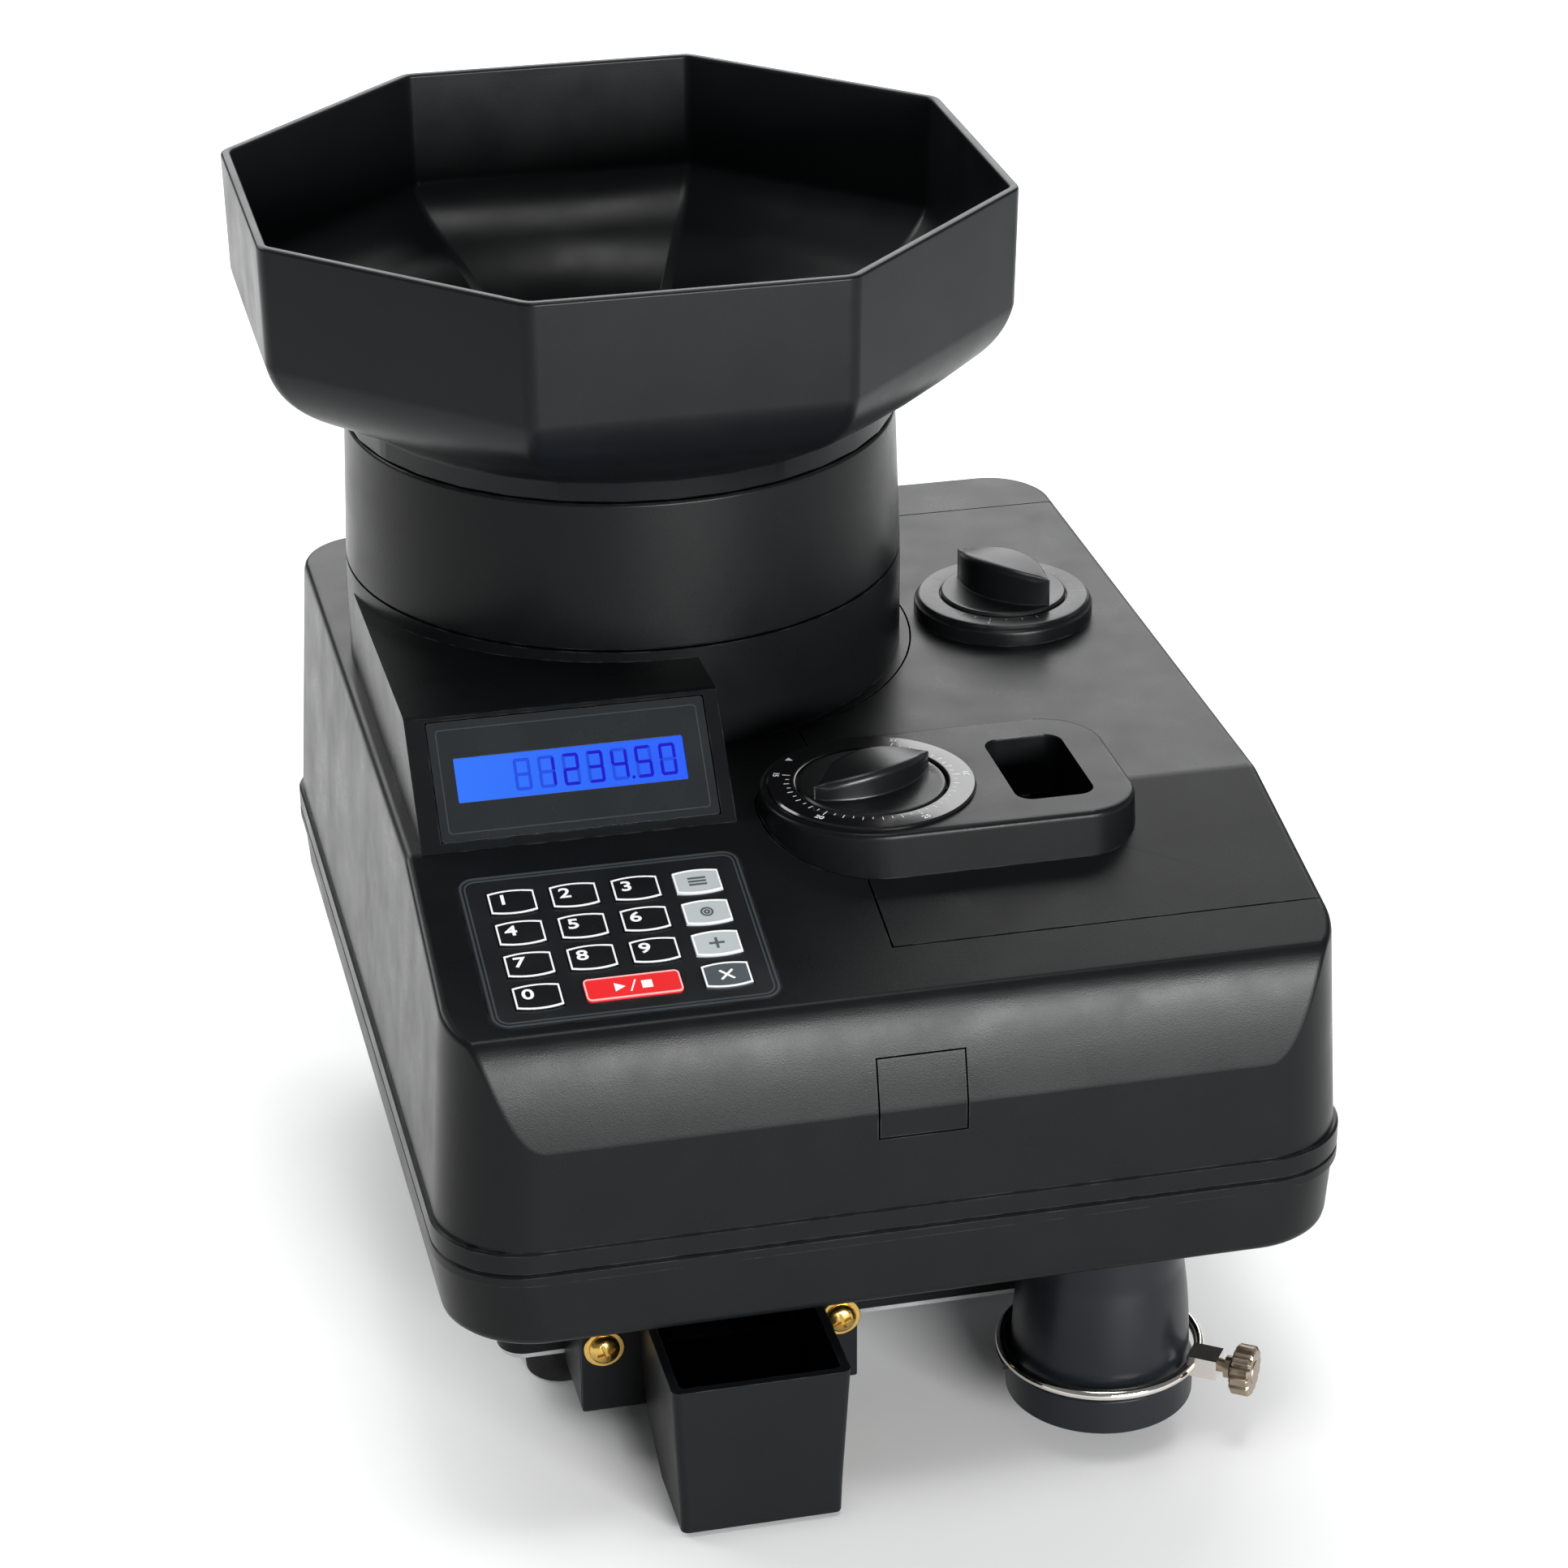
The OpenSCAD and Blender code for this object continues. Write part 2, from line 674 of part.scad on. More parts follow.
module drum_guard() color("#9aa0a4") {
  at_drum(deck_z + 0.2) difference() {
    cylinder(r = 82.6, h = ring_z0 - 6 - deck_z);
    translate([0, 0, -1]) cylinder(r = 80.6, h = 80);
    // way out for the coins
    translate([0, -55, -1]) cube([100, 66, 8]);
  }
}

module coin_disc() color("#c9cdd0") {
  at_drum(0) difference() {
    union() {
      translate([0, 0, deck_z - 4.5]) cylinder(r = disc_r, h = 4.8, $fn = 128);
      translate([0, 0, deck_z + 0.2]) cylinder(r1 = 26, r2 = 8, h = 9);
      for (i = [0:5]) rotate(i * 60) translate([26, -2, deck_z + 0.2]) cube([44, 4, 1.4]);
    }
    translate([0, 0, deck_z - 5]) cylinder(r = disc_bore, h = 6);
  }
}

module disc_shaft() color("silver") {
  at_drum(pulley_z - 3) cylinder(r = disc_bore, h = deck_z - 2 - pulley_z + 3);
}

module bearing_housing() color("#9aa0a4") {
  at_drum(0) difference() {
    union() {
      translate([0, 0, deck_z - 10]) cylinder(r = 88.5, h = 4);
      translate([0, 0, 122]) cylinder(r = 17, h = deck_z - 10 - 122 + e);
    }
    translate([0, 0, 100]) cylinder(r = disc_bore + 0.05, h = 60);
  }
}

module pulley(r, bore) {
  difference() {
    union() {
      cylinder(r = r, h = pulley_h);
      cylinder(r = r + 1.5, h = 1.5);
      translate([0, 0, pulley_h - 1.5]) cylinder(r = r + 1.5, h = 1.5);
    }
    translate([0, 0, -1]) cylinder(r = bore, h = pulley_h + 2);
  }
}

module disc_pulley() color("#33373a") {
  at_drum(pulley_z) pulley(disc_pulley_r, disc_bore);
}

module motor_pulley() color("#33373a") {
  translate([motor_x, motor_y, pulley_z]) pulley(motor_pulley_r, 2.9);
  translate([motor_x, motor_y, 95]) cylinder(r = 3, h = pulley_z + pulley_h - 95);
}

module belt_loop(p, q, rp, rq, h) {
  linear_extrude(h) difference() {
    hull() {
      translate(p) circle(rp + 1.6);
      translate(q) circle(rq + 1.6);
    }
    hull() {
      translate(p) circle(rp + 0.3);
      translate(q) circle(rq + 0.3);
    }
  }
}

module drive_belt() color("#151515") {
  translate([0, 0, pulley_z + 2]) belt_loop([drum_x, drum_y], [motor_x, motor_y],
    disc_pulley_r, motor_pulley_r, pulley_h - 4);
}

module main_motor() color("#6d7478") {
  translate([motor_x, motor_y, 0]) {
    translate([0, 0, 32]) cylinder(r = 27, h = 62);
    translate([0, 0, 38]) cylinder(r = 28.5, h = 46);
    difference() {
      translate([0, 0, 93]) cylinder(r = 9, h = 5);
      translate([0, 0, 94.5]) cylinder(r = 3.06, h = 5);
    }
  }
}

module motor_bracket() color("silver") {
  posts = [[-28, -22], [-28, 22], [20, 27]];
  translate([motor_x, motor_y, 0]) {
    difference() {
      translate([-34, -30, 94.2]) cube([64, 62, 2.5]);
      translate([0, 0, 90]) cylinder(r = 9.3, h = 20);
    }
    for (p = posts) translate([p[0], p[1], 96]) cylinder(r = 3.5, h = deck_z - 10 - 96);
  }
}

module feed_belt() color("#7a2f2a") {
  translate([belt_x - 4, 0, 0]) rotate([90, 0, 90])
    belt_loop([belt_y0, belt_z], [belt_y1, belt_z], 6, 6, 8);
}

module roller() {
  rotate([0, 90, 0]) {
    translate([0, 0, -5]) cylinder(r = 6, h = 10);
    translate([0, 0, -8]) cylinder(r = 2, h = 16);
  }
}

module feed_roller_front() color("#d8dadb") {
  translate([belt_x, belt_y0, belt_z]) roller();
}

module feed_roller_rear() color("#d8dadb") {
  translate([belt_x, belt_y1, belt_z]) roller();
}

module feed_bracket() color("#9aa0a4") {
  difference() {
    union() {
      for (x = [belt_x - 8.5, belt_x + 5.5])
        translate([x, belt_y0 - 5, 156]) cube([3, belt_y1 - belt_y0 + 10, 11]);
      translate([belt_x - 8.5, 1, 169.5]) cube([29, 14, 2.5]);
      for (x = [belt_x - 8.5, belt_x + 5.5]) translate([x, 1, 160]) cube([3, 14, 10]);
      translate([rail_x + 2.5, 1, deck_z + 5]) cube([2.5, 14, 16]);
      translate([rail_x + 4.2, 1, deck_z]) cube([9, 14, 2.5]);
      translate([rail_x + 4.2, 1, deck_z]) cube([2.5, 14, 8]);
    }
    for (y = [belt_y0, belt_y1]) translate([belt_x - 20, y, belt_z]) rotate([0, 90, 0])
      cylinder(r = 2.06, h = 40);
  }
}

module star_wheel() color("#e3e5e6") {
  translate([star_x, star_y, 0]) {
    difference() {
      translate([0, 0, deck_z + 0.6]) cylinder(r = 15, h = 2);
      for (i = [0:5]) rotate(30 + i * 60) translate([16.5, 0, deck_z]) cylinder(r = 6.5, h = 4);
    }
    translate([0, 0, deck_z - 12]) cylinder(r = 3, h = 17);
    translate([0, 0, deck_z - 12]) cylinder(r = 8, h = 3);
  }
}

// ---------- reject and outlet ----------

module reject_chute() color("#33373a") {
  difference() {
    hull() {
      translate([46, -47, deck_z - 6.5]) cube([16, 34, 0.4]);
      translate([box_x - 16, -113, 71]) cube([32, 16, 1]);
    }
    hull() {
      translate([48, -45, deck_z - 6]) cube([12, 30, 0.4]);
      translate([box_x - 14, -111, 70.5]) cube([28, 12, 1]);
    }
  }
  difference() {
    translate([box_x - 16, -113, 26]) cube([32, 16, 45.5]);
    translate([box_x - 14, -115, 28]) cube([28, 16, 60]);
  }
}

module reject_box() color("#24272a") {
  difference() {
    union() {
      hull() {
        translate([box_x - 26, -173.5, box_rim_z - 0.1]) cube([52, 173.5 + block_y - 0.1, 0.1]);
        translate([box_x - 24, -172, 1.5]) cube([48, 31.3, 0.1]);
        translate([box_x - 24.3, block_y - 2, block_z]) cube([48.6, 1.9, 0.1]);
      }
      // ears that the screws hold against the base
      translate([block_x0, block_y - 2.2, block_z]) cube([block_x1 - block_x0, 2.1, 42]);
    }
    hull() {
      translate([box_x - 23.5, -171, box_rim_z + 1]) cube([47, 171 + block_y - 2.2, 0.1]);
      translate([box_x - 21.5, -169.5, 4]) cube([43, 28.5, 0.1]);
      translate([box_x - 21.8, block_y - 4, block_z + 3]) cube([43.6, 1.8, 0.1]);
    }
    translate([box_x - 20, block_y - 4, 24]) cube([40, 8, 40]);
    for (x = screw_xs) translate([x, block_y - 5, screw_z]) rotate([-90, 0, 0]) cylinder(r = 2.2, h = 8);
  }
}

module reject_box_screws() color("#c9a24a") {
  for (x = screw_xs) translate([x, block_y - 2.2, screw_z]) rotate([90, 0, 0]) {
    cylinder(r = 6, h = 1);
    difference() {
      translate([0, 0, 1]) cylinder(r1 = 4.4, r2 = 3.2, h = 2.6);
      translate([-3, -0.5, 2.6]) cube([6, 1, 2]);
      translate([-0.5, -3, 2.6]) cube([1, 6, 2]);
    }
    translate([0, 0, -8]) cylinder(r = 1.9, h = 8.5);
  }
}

module coin_spout() color("#16191d") {
  difference() {
    union() {
      translate([outlet_x, outlet_y, 0]) rotate_extrude($fn = 96)
        polygon([[27.7, 9], [27.7, 20.5], [26.3, 22.5], [26.1, 27], [23.5, 54],
          [23.5, base_z + wall], [25.2, base_z + wall], [25.2, base_z + 7], [15, base_z + 7],
          [15, base_z + 5], [21.3, base_z + 5], [21.3, 54], [23.9, 26], [25.3, 9]]);
      // tube that the deck rests on
      translate([outlet_x, drop_y, base_z + 6]) cylinder(r = drop_r + 1.6, h = deck_z - 6.2 - base_z - 6);
      // shelf behind the spout that the bag ring rests on
      translate([outlet_x, outlet_y, 20.4]) difference() {
        cylinder(r = 31, h = 2);
        translate([0, 0, -1]) cylinder(r = 25, h = 5);
        rotate(-35) translate([-60, -80, -2]) cube([120, 74, 10]);
        rotate(-35) translate([-8, -40, -2]) cube([80, 80, 10]);
      }
    }
    translate([outlet_x, drop_y, base_z + 3]) cylinder(r = drop_r, h = deck_z - base_z);
  }
}

module bag_ring() color("silver") {
  translate([outlet_x, outlet_y, 24]) {
    rotate_extrude($fn = 96) translate([29.4, 0]) circle(1.6, $fn = 24);
    rotate(-35) difference() {
      translate([28, -4, -3.2]) cube([9, 8, 6.4]);
      translate([20, 0, 0]) rotate([0, 90, 0]) cylinder(r = 2.06, h = 20);
    }
  }
}

module thumb_screw() color("#a08a70") {
  translate([outlet_x, outlet_y, 24]) rotate(-35) rotate([0, 90, 0]) {
    translate([0, 0, 31.5]) cylinder(r = 2, h = 10);
    translate([0, 0, 39]) cylinder(r = 3.4, h = 3);
    difference() {
      translate([0, 0, 41.5]) cylinder(r = 7.5, h = 6);
      for (i = [0:11]) rotate(i * 30) translate([7.9, 0, 41]) cylinder(r = 0.8, h = 7);
    }
  }
}

// ---------- electronics ----------

module main_board() color("#1c5b33") {
  translate([-92, -82, plinth_z + 4]) cube([90, 124, 1.6]);
  translate([-80, -60, plinth_z + 5.6 - e]) cube([20, 20, 2.5]);
  translate([-40, -70, plinth_z + 5.6 - e]) cube([30, 12, 9]);
  translate([-85, 0, plinth_z + 5.6 - e]) cube([10, 34, 10]);
  for (i = [0:3]) translate([-52 + i * 13, 14, plinth_z + 5.6 - e]) cylinder(r = 5, h = 14);
}

module power_supply() color("#8b8f92") {
  translate([14, 22, plinth_z + 4]) cube([90, 88, 1.6]);
  translate([20, 40, plinth_z + 5.6 - e]) cube([44, 52, 30]);
  translate([74, 34, plinth_z + 5.6 - e]) cylinder(r = 8, h = 24);
  translate([74, 56, plinth_z + 5.6 - e]) cylinder(r = 8, h = 24);
  translate([88, 40, plinth_z + 5.6 - e]) cube([4, 50, 28]);
  // mains inlet and switch frame in the back of the plinth
  difference() {
    union() {
      translate([31, plinth_y1 - 16, 27]) cube([64, 15.8, 26]);
      translate([27, plinth_y1, 23]) cube([72, 2.5, 34]);
      translate([31, plinth_y1 - 1, 27]) cube([64, 2, 26]);
    }
    translate([62, plinth_y1 - 13, 30]) cube([29, 20, 20]);
    translate([35, plinth_y1 - 11, 30]) cube([20, 20, 20]);
  }
  for (dx = [-7, 0, 7]) translate([76.5 + dx - 1, plinth_y1 - 14, 38 + (dx == 0 ? 4 : -2)]) cube([2, 11, 4]);
}

module power_switch() color("#101010") {
  translate([45, plinth_y1 - 1, 40]) {
    rotate([0, 90, 0]) translate([0, 0, -8]) cylinder(r = 5.5, h = 16);
    rotate([8, 0, 0]) translate([-8, -2, -8.5]) cube([16, 5, 17]);
  }
}

base_shell();
plinth();
bottom_plate();
rubber_feet();
top_housing();
display_window();
lcd_module();
keypad_overlay();
keypad_board();
color("#141618") named_key("key_1");  // key_1
color("#141618") named_key("key_2");  // key_2
color("#141618") named_key("key_3");  // key_3
color("#141618") named_key("key_4");  // key_4
color("#141618") named_key("key_5");  // key_5
color("#141618") named_key("key_6");  // key_6
color("#141618") named_key("key_7");  // key_7
color("#141618") named_key("key_8");  // key_8
color("#141618") named_key("key_9");  // key_9
color("#141618") named_key("key_0");  // key_0
key_start();
color("#b9bfc1") named_key("key_memory");  // key_memory
color("#b9bfc1") named_key("key_batch");  // key_batch
color("#b9bfc1") named_key("key_add");  // key_add
color("#5a6165") named_key("key_clear");  // key_clear
right_lid();
lid_hinge_pins();
hinge_brackets();
latch_button();
drum_ring();
hopper();
diameter_scale();
diameter_knob();
width_gauge();
thickness_scale();
thickness_knob();
thickness_gate();
deck_plate();
drum_guard();
coin_disc();
disc_shaft();
bearing_housing();
disc_pulley();
drive_belt();
main_motor();
motor_pulley();
motor_bracket();
feed_belt();
feed_roller_front();
feed_roller_rear();
feed_bracket();
star_wheel();
reject_chute();
reject_box();
reject_box_screws();
coin_spout();
bag_ring();
thumb_screw();
main_board();
power_supply();
power_switch();
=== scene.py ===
"""Coin counting and sorting machine: the visual model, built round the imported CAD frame."""
from math import cos, pi, radians, sin, sqrt, tan

import bmesh
import bpy
from mathutils import Matrix, Vector


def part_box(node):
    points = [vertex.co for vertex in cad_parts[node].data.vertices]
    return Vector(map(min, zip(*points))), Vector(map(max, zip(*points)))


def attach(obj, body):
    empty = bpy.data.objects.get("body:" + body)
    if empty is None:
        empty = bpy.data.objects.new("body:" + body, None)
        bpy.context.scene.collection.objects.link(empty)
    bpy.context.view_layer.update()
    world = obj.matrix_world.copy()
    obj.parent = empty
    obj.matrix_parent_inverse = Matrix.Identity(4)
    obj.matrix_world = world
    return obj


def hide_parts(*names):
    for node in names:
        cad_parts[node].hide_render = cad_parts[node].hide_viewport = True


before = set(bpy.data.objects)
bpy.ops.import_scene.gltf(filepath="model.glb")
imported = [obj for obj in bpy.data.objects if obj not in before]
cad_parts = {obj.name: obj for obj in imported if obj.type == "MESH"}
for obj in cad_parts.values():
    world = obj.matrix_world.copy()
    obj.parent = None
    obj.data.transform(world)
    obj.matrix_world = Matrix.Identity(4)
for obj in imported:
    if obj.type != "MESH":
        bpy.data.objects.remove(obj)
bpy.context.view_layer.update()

MM = 0.001


# ---------- materials ----------

class Nodes:
    """A node material with a Principled shader, and short calls that add nodes to it."""

    def __init__(self, name):
        self.material = bpy.data.materials.new(name)
        self.material.use_nodes = True
        self.tree = self.material.node_tree
        self.shader = self.tree.nodes["Principled BSDF"]
        self.place = self.add("ShaderNodeTexCoord").outputs["Object"]

    def add(self, kind, **inputs):
        node = self.tree.nodes.new(kind)
        for key, value in inputs.items():
            self.put(node.inputs[key.replace("_", " ")], value)
        return node

    def put(self, socket, value):
        if isinstance(value, bpy.types.NodeSocket):
            self.tree.links.new(value, socket)
        else:
            socket.default_value = value

    def set(self, **inputs):
        for key, value in inputs.items():
            self.put(self.shader.inputs[key.replace("_", " ")], value)

    def noise(self, scale, detail=2.0, stretch=(1, 1, 1)):
        """Noise whose blotches measure about 1 / scale metres."""
        mapping = self.add("ShaderNodeMapping", Vector=self.place, Scale=stretch)
        node = self.add("ShaderNodeTexNoise", Vector=mapping.outputs["Vector"], Scale=scale, Detail=detail)
        return node.outputs["Fac"]

    def spread(self, value, low, high, start=0.3, end=0.7):
        """A value remapped from start..end to low..high."""
        node = self.add("ShaderNodeMapRange", Value=value)
        for key, number in (("From Min", start), ("From Max", end), ("To Min", low), ("To Max", high)):
            node.inputs[key].default_value = number
        return node.outputs["Result"]

    def mix(self, factor, first, second):
        node = self.tree.nodes.new("ShaderNodeMix")
        node.data_type = "RGBA"
        self.put(node.inputs[0], factor)
        for socket, value in ((6, first), (7, second)):
            self.put(node.inputs[socket], (*value, 1) if isinstance(value, tuple) else value)
        return node.outputs[2]

    def times(self, first, second):
        node = self.add("ShaderNodeMath")
        node.operation = "MULTIPLY"
        self.put(node.inputs[0], first)
        self.put(node.inputs[1], second)
        return node.outputs["Value"]

    def edge(self, radius):
        """1 along convex and concave edges, 0 on open faces."""
        rounded = self.add("ShaderNodeBevel", Radius=radius).outputs["Normal"]
        flat = self.add("ShaderNodeNewGeometry").outputs["Normal"]
        dot = self.tree.nodes.new("ShaderNodeVectorMath")
        dot.operation = "DOT_PRODUCT"
        self.put(dot.inputs[0], rounded)
        self.put(dot.inputs[1], flat)
        return self.spread(dot.outputs["Value"], 1.0, 0.0, 0.9, 0.995)

    def bump(self, height, depth, strength=1.0):
        node = self.add("ShaderNodeBump", Height=height, Distance=depth, Strength=strength)
        self.set(Normal=node.outputs["Normal"])


EDGE_WIDTH = 0.0006
WORN_LIGHTER = 0.10
SMOOTH = {"grain": 0.00001, "wear": 0.0}


def tint(colour, factor):
    return tuple(c * factor for c in colour)


def plastic(name, colour, rough=0.42, grain=0.00003, specular=0.35, wear=0.25, grain_scale=2600):
    """Moulded plastic: fine spark-eroded grain, faint mottling, and edges rubbed a little lighter."""
    n = Nodes(name)
    mottle = n.mix(n.noise(14, 4), tint(colour, 0.82), tint(colour, 1.18))
    rub = n.spread(n.noise(160, 3), 0.0, 1.0, 0.42, 0.62)
    worn = n.times(n.times(n.edge(EDGE_WIDTH), rub), wear)
    n.set(Base_Color=n.mix(worn, mottle, tuple(WORN_LIGHTER + c for c in colour)))
    n.set(Roughness=n.spread(n.noise(55, 5), rough - 0.04, rough + 0.05))
    n.set(Specular_IOR_Level=specular)
    n.bump(n.noise(grain_scale, 2), grain)
    return n.material


def gloss(name, colour, rough=0.08, specular=0.5, coat=0.6):
    """Polished plastic or film with a coat, faint smears and a little dust."""
    n = Nodes(name)
    n.set(Base_Color=n.mix(n.noise(9, 3), tint(colour, 0.85), tint(colour, 1.15)))
    smear = n.noise(70, 6, (1, 0.35, 1))
    n.set(Roughness=n.spread(smear, rough, rough + 0.10, 0.35, 0.75))
    n.set(Specular_IOR_Level=specular, Coat_Weight=coat, Coat_Roughness=0.05)
    n.bump(n.noise(420, 2), 0.000006)
    return n.material


def ink(name, colour, rough=0.45):
    """Screen-printed ink: slightly uneven cover and uneven gloss."""
    n = Nodes(name)
    n.set(Base_Color=n.mix(n.noise(900, 3), tint(colour, 0.86), colour))
    n.set(Roughness=n.spread(n.noise(500, 2), rough - 0.06, rough + 0.06))
    n.bump(n.noise(3000, 2), 0.000008)
    return n.material


def metal(name, colour, rough=0.3, stretch=(1, 1, 1), scale=600, depth=0.000006, dull=0.85):
    """Metal with drawing or turning marks, and dull patches."""
    n = Nodes(name)
    n.set(Metallic=1.0)
    n.set(Base_Color=n.mix(n.spread(n.noise(90, 5), 0, 1), tint(colour, dull), colour))
    n.set(Roughness=n.spread(n.noise(scale, 4, stretch), rough * 0.75, rough * 1.3))
    n.bump(n.noise(scale * 2, 3, stretch), depth)
    return n.material


def rubber(name, colour, rough=0.75):
    n = Nodes(name)
    n.set(Base_Color=n.mix(n.noise(60, 5), tint(colour, 0.8), tint(colour, 1.3)))
    n.set(Roughness=n.spread(n.noise(300, 4), rough - 0.08, rough + 0.08))
    n.set(Specular_IOR_Level=0.25)
    n.bump(n.noise(1500, 4), 0.00004)
    return n.material


def circuit(name):
    """Solder mask over copper tracks."""
    n = Nodes(name)
    tracks = n.add("ShaderNodeTexBrick", Vector=n.place, Scale=90.0, Mortar_Size=0.03)
    greens = {"Color1": (0.006, 0.06, 0.025), "Color2": (0.008, 0.075, 0.03), "Mortar": (0.02, 0.16, 0.07)}
    for socket, colour in greens.items():
        tracks.inputs[socket].default_value = (*colour, 1)
    n.set(Base_Color=tracks.outputs["Color"])
    n.set(Roughness=n.spread(n.noise(400, 3), 0.25, 0.4))
    n.bump(tracks.outputs["Fac"], 0.00003)
    return n.material


def lit_display(name):
    """Back-lit blue LCD: brighter at the lamp's side, with the fine grain of its diffuser."""
    n = Nodes(name)
    axes = n.add("ShaderNodeSeparateXYZ", Vector=n.place)
    side = n.spread(axes.outputs["X"], 0.0, 1.0, -0.102, -0.035)
    blue = n.mix(side, (0.022, 0.166, 0.82), (0.008, 0.085, 0.81))
    blotch = n.mix(n.spread(n.noise(45, 2), 0.0, 0.35), blue, (0.026, 0.15, 0.86))
    n.set(Base_Color=(0.005, 0.01, 0.08, 1))
    n.set(Emission_Color=blotch, Emission_Strength=1.0, Roughness=0.2)
    n.bump(n.noise(5000, 1), 0.000004)
    return n.material


def lit_segment(name, colour, strength):
    n = Nodes(name)
    n.set(Base_Color=(0.002, 0.002, 0.02, 1), Emission_Strength=strength, Roughness=0.2)
    n.set(Emission_Color=n.mix(n.noise(300, 2), tint(colour, 0.8), colour))
    return n.material


M = {
    "housing": plastic("housing_black", (0.0042, 0.0047, 0.0050), 0.30, specular=0.125),
    "base": plastic("base_black", (0.0040, 0.0044, 0.0047), 0.36, specular=0.13),
    "hopper": plastic("hopper_black", (0.0042, 0.0050, 0.0056), 0.32, grain=0.00002, specular=0.14),
    "gloss": gloss("gloss_black", (0.004, 0.004, 0.0045), 0.12, 0.35, 0.35),
    "panel": gloss("panel_grey", (0.010, 0.012, 0.013), 0.22, 0.3, 0.15),
    "lcd": lit_display("lcd_blue"),
    "segment": lit_segment("segment_blue", (0.004, 0.002, 0.58), 1.0),
    "ghost": lit_segment("ghost_blue", (0.010, 0.082, 0.78), 1.0),
    "circuit": circuit("circuit_green"),
    "film": plastic("keypad_film", (0.0055, 0.0065, 0.0075), 0.30, specular=0.4, **SMOOTH),
    "key_black": plastic("key_black", (0.004, 0.005, 0.0055), 0.28, specular=0.4, **SMOOTH),
    "key_red": plastic("key_red", (0.66, 0.018, 0.020), 0.35, specular=0.3, **SMOOTH),
    "key_grey": plastic("key_grey", (0.40, 0.43, 0.44), 0.38, specular=0.4, **SMOOTH),
    "key_slate": plastic("key_slate", (0.060, 0.075, 0.085), 0.36, specular=0.3, **SMOOTH),
    "knob": plastic("knob_black", (0.0045, 0.0050, 0.0055), 0.30, grain=0.000015, specular=0.3),
    "chute": plastic("chute_black", (0.0052, 0.0057, 0.0064), 0.38, specular=0.13),
    "spout": plastic("spout_black", (0.0050, 0.0066, 0.0085), 0.32, grain=0.00002, specular=0.25),
    "white": ink("white_ink", (0.80, 0.82, 0.82)),
    "grey_ink": ink("grey_ink", (0.07, 0.08, 0.085)),
    "dark_ink": ink("dark_ink", (0.015, 0.018, 0.02)),
    "pink_ink": ink("pink_ink", (0.85, 0.42, 0.42)),
    "grey_mark": ink("grey_mark", (0.22, 0.23, 0.23)),
    "rim": plastic("film_rim", (0.030, 0.036, 0.040), 0.35, specular=0.4, **SMOOTH),
    "foot": rubber("foot_rubber", (0.008, 0.008, 0.008)),
    "belt": rubber("belt_rubber", (0.007, 0.007, 0.007), 0.6),
    "feed": rubber("feed_rubber", (0.16, 0.022, 0.015), 0.6),
    "steel": metal("steel", (0.55, 0.56, 0.57), 0.35, stretch=(1, 12, 1), scale=90),
    "disc": metal("disc_steel", (0.62, 0.63, 0.64), 0.32, scale=250, depth=0.000001, dull=0.93),
    "chrome": metal("chrome", (0.80, 0.76, 0.70), 0.10, scale=300, depth=0.000002),
    "aluminium": metal("aluminium", (0.66, 0.67, 0.68), 0.4, stretch=(14, 1, 1), scale=60),
    "brass": metal("brass", (0.72, 0.47, 0.13), 0.22, scale=500),
    "bronze": metal("bronze", (0.36, 0.29, 0.22), 0.35, scale=400),
    "motor": metal("motor_grey", (0.30, 0.31, 0.32), 0.42),
    "nylon": plastic("pale_nylon", (0.62, 0.63, 0.61), 0.45, grain=0.00002, specular=0.4, wear=0.0),
}

CAD_MATERIALS = {
    "base": ["base_shell", "plinth"],
    "housing": ["top_housing", "right_lid", "latch_button", "drum_ring"],
    "hopper": ["hopper"],
    "gloss": ["diameter_scale"],
    "panel": ["display_window"],
    "circuit": ["lcd_module", "keypad_board", "main_board"],
    "film": ["keypad_overlay"],
    "knob": ["diameter_knob", "thickness_knob", "thickness_scale", "power_switch"],
    "chute": ["reject_box", "reject_chute", "disc_pulley", "motor_pulley"],
    "spout": ["coin_spout"],
    "foot": ["rubber_feet"],
    "belt": ["drive_belt"],
    "feed": ["feed_belt"],
    "steel": ["bottom_plate", "lid_hinge_pins", "hinge_brackets", "disc_shaft", "motor_bracket",
              "deck_plate"],
    "disc": ["coin_disc"],
    "chrome": ["bag_ring", "feed_roller_front", "feed_roller_rear"],
    "aluminium": ["width_gauge", "thickness_gate", "drum_guard", "bearing_housing", "feed_bracket"],
    "brass": ["reject_box_screws"],
    "bronze": ["thumb_screw"],
    "motor": ["main_motor", "power_supply"],
    "nylon": ["star_wheel"],
    "key_red": ["key_start"],
    "key_grey": ["key_memory", "key_batch", "key_add"],
    "key_slate": ["key_clear"],
    "key_black": ["key_%d" % i for i in range(10)],
}
for material_name, names in CAD_MATERIALS.items():
    for node_name in names:
        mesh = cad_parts[node_name].data
        mesh.materials.clear()
        mesh.materials.append(M[material_name])


# ---------- mesh helpers; every length below is in millimetres ----------

def draft_of(shape):
    """A mesh from a bmesh, which goes."""
    mesh = bpy.data.meshes.new("draft")
    shape.to_mesh(mesh)
    shape.free()
    return mesh


def mesh_of(vertices, faces):
    mesh = bpy.data.meshes.new("draft")
    mesh.from_pydata(vertices, [], faces)
    shape = bmesh.new()
    shape.from_mesh(mesh)
    bmesh.ops.recalc_face_normals(shape, faces=shape.faces)
    return draft_of(shape)


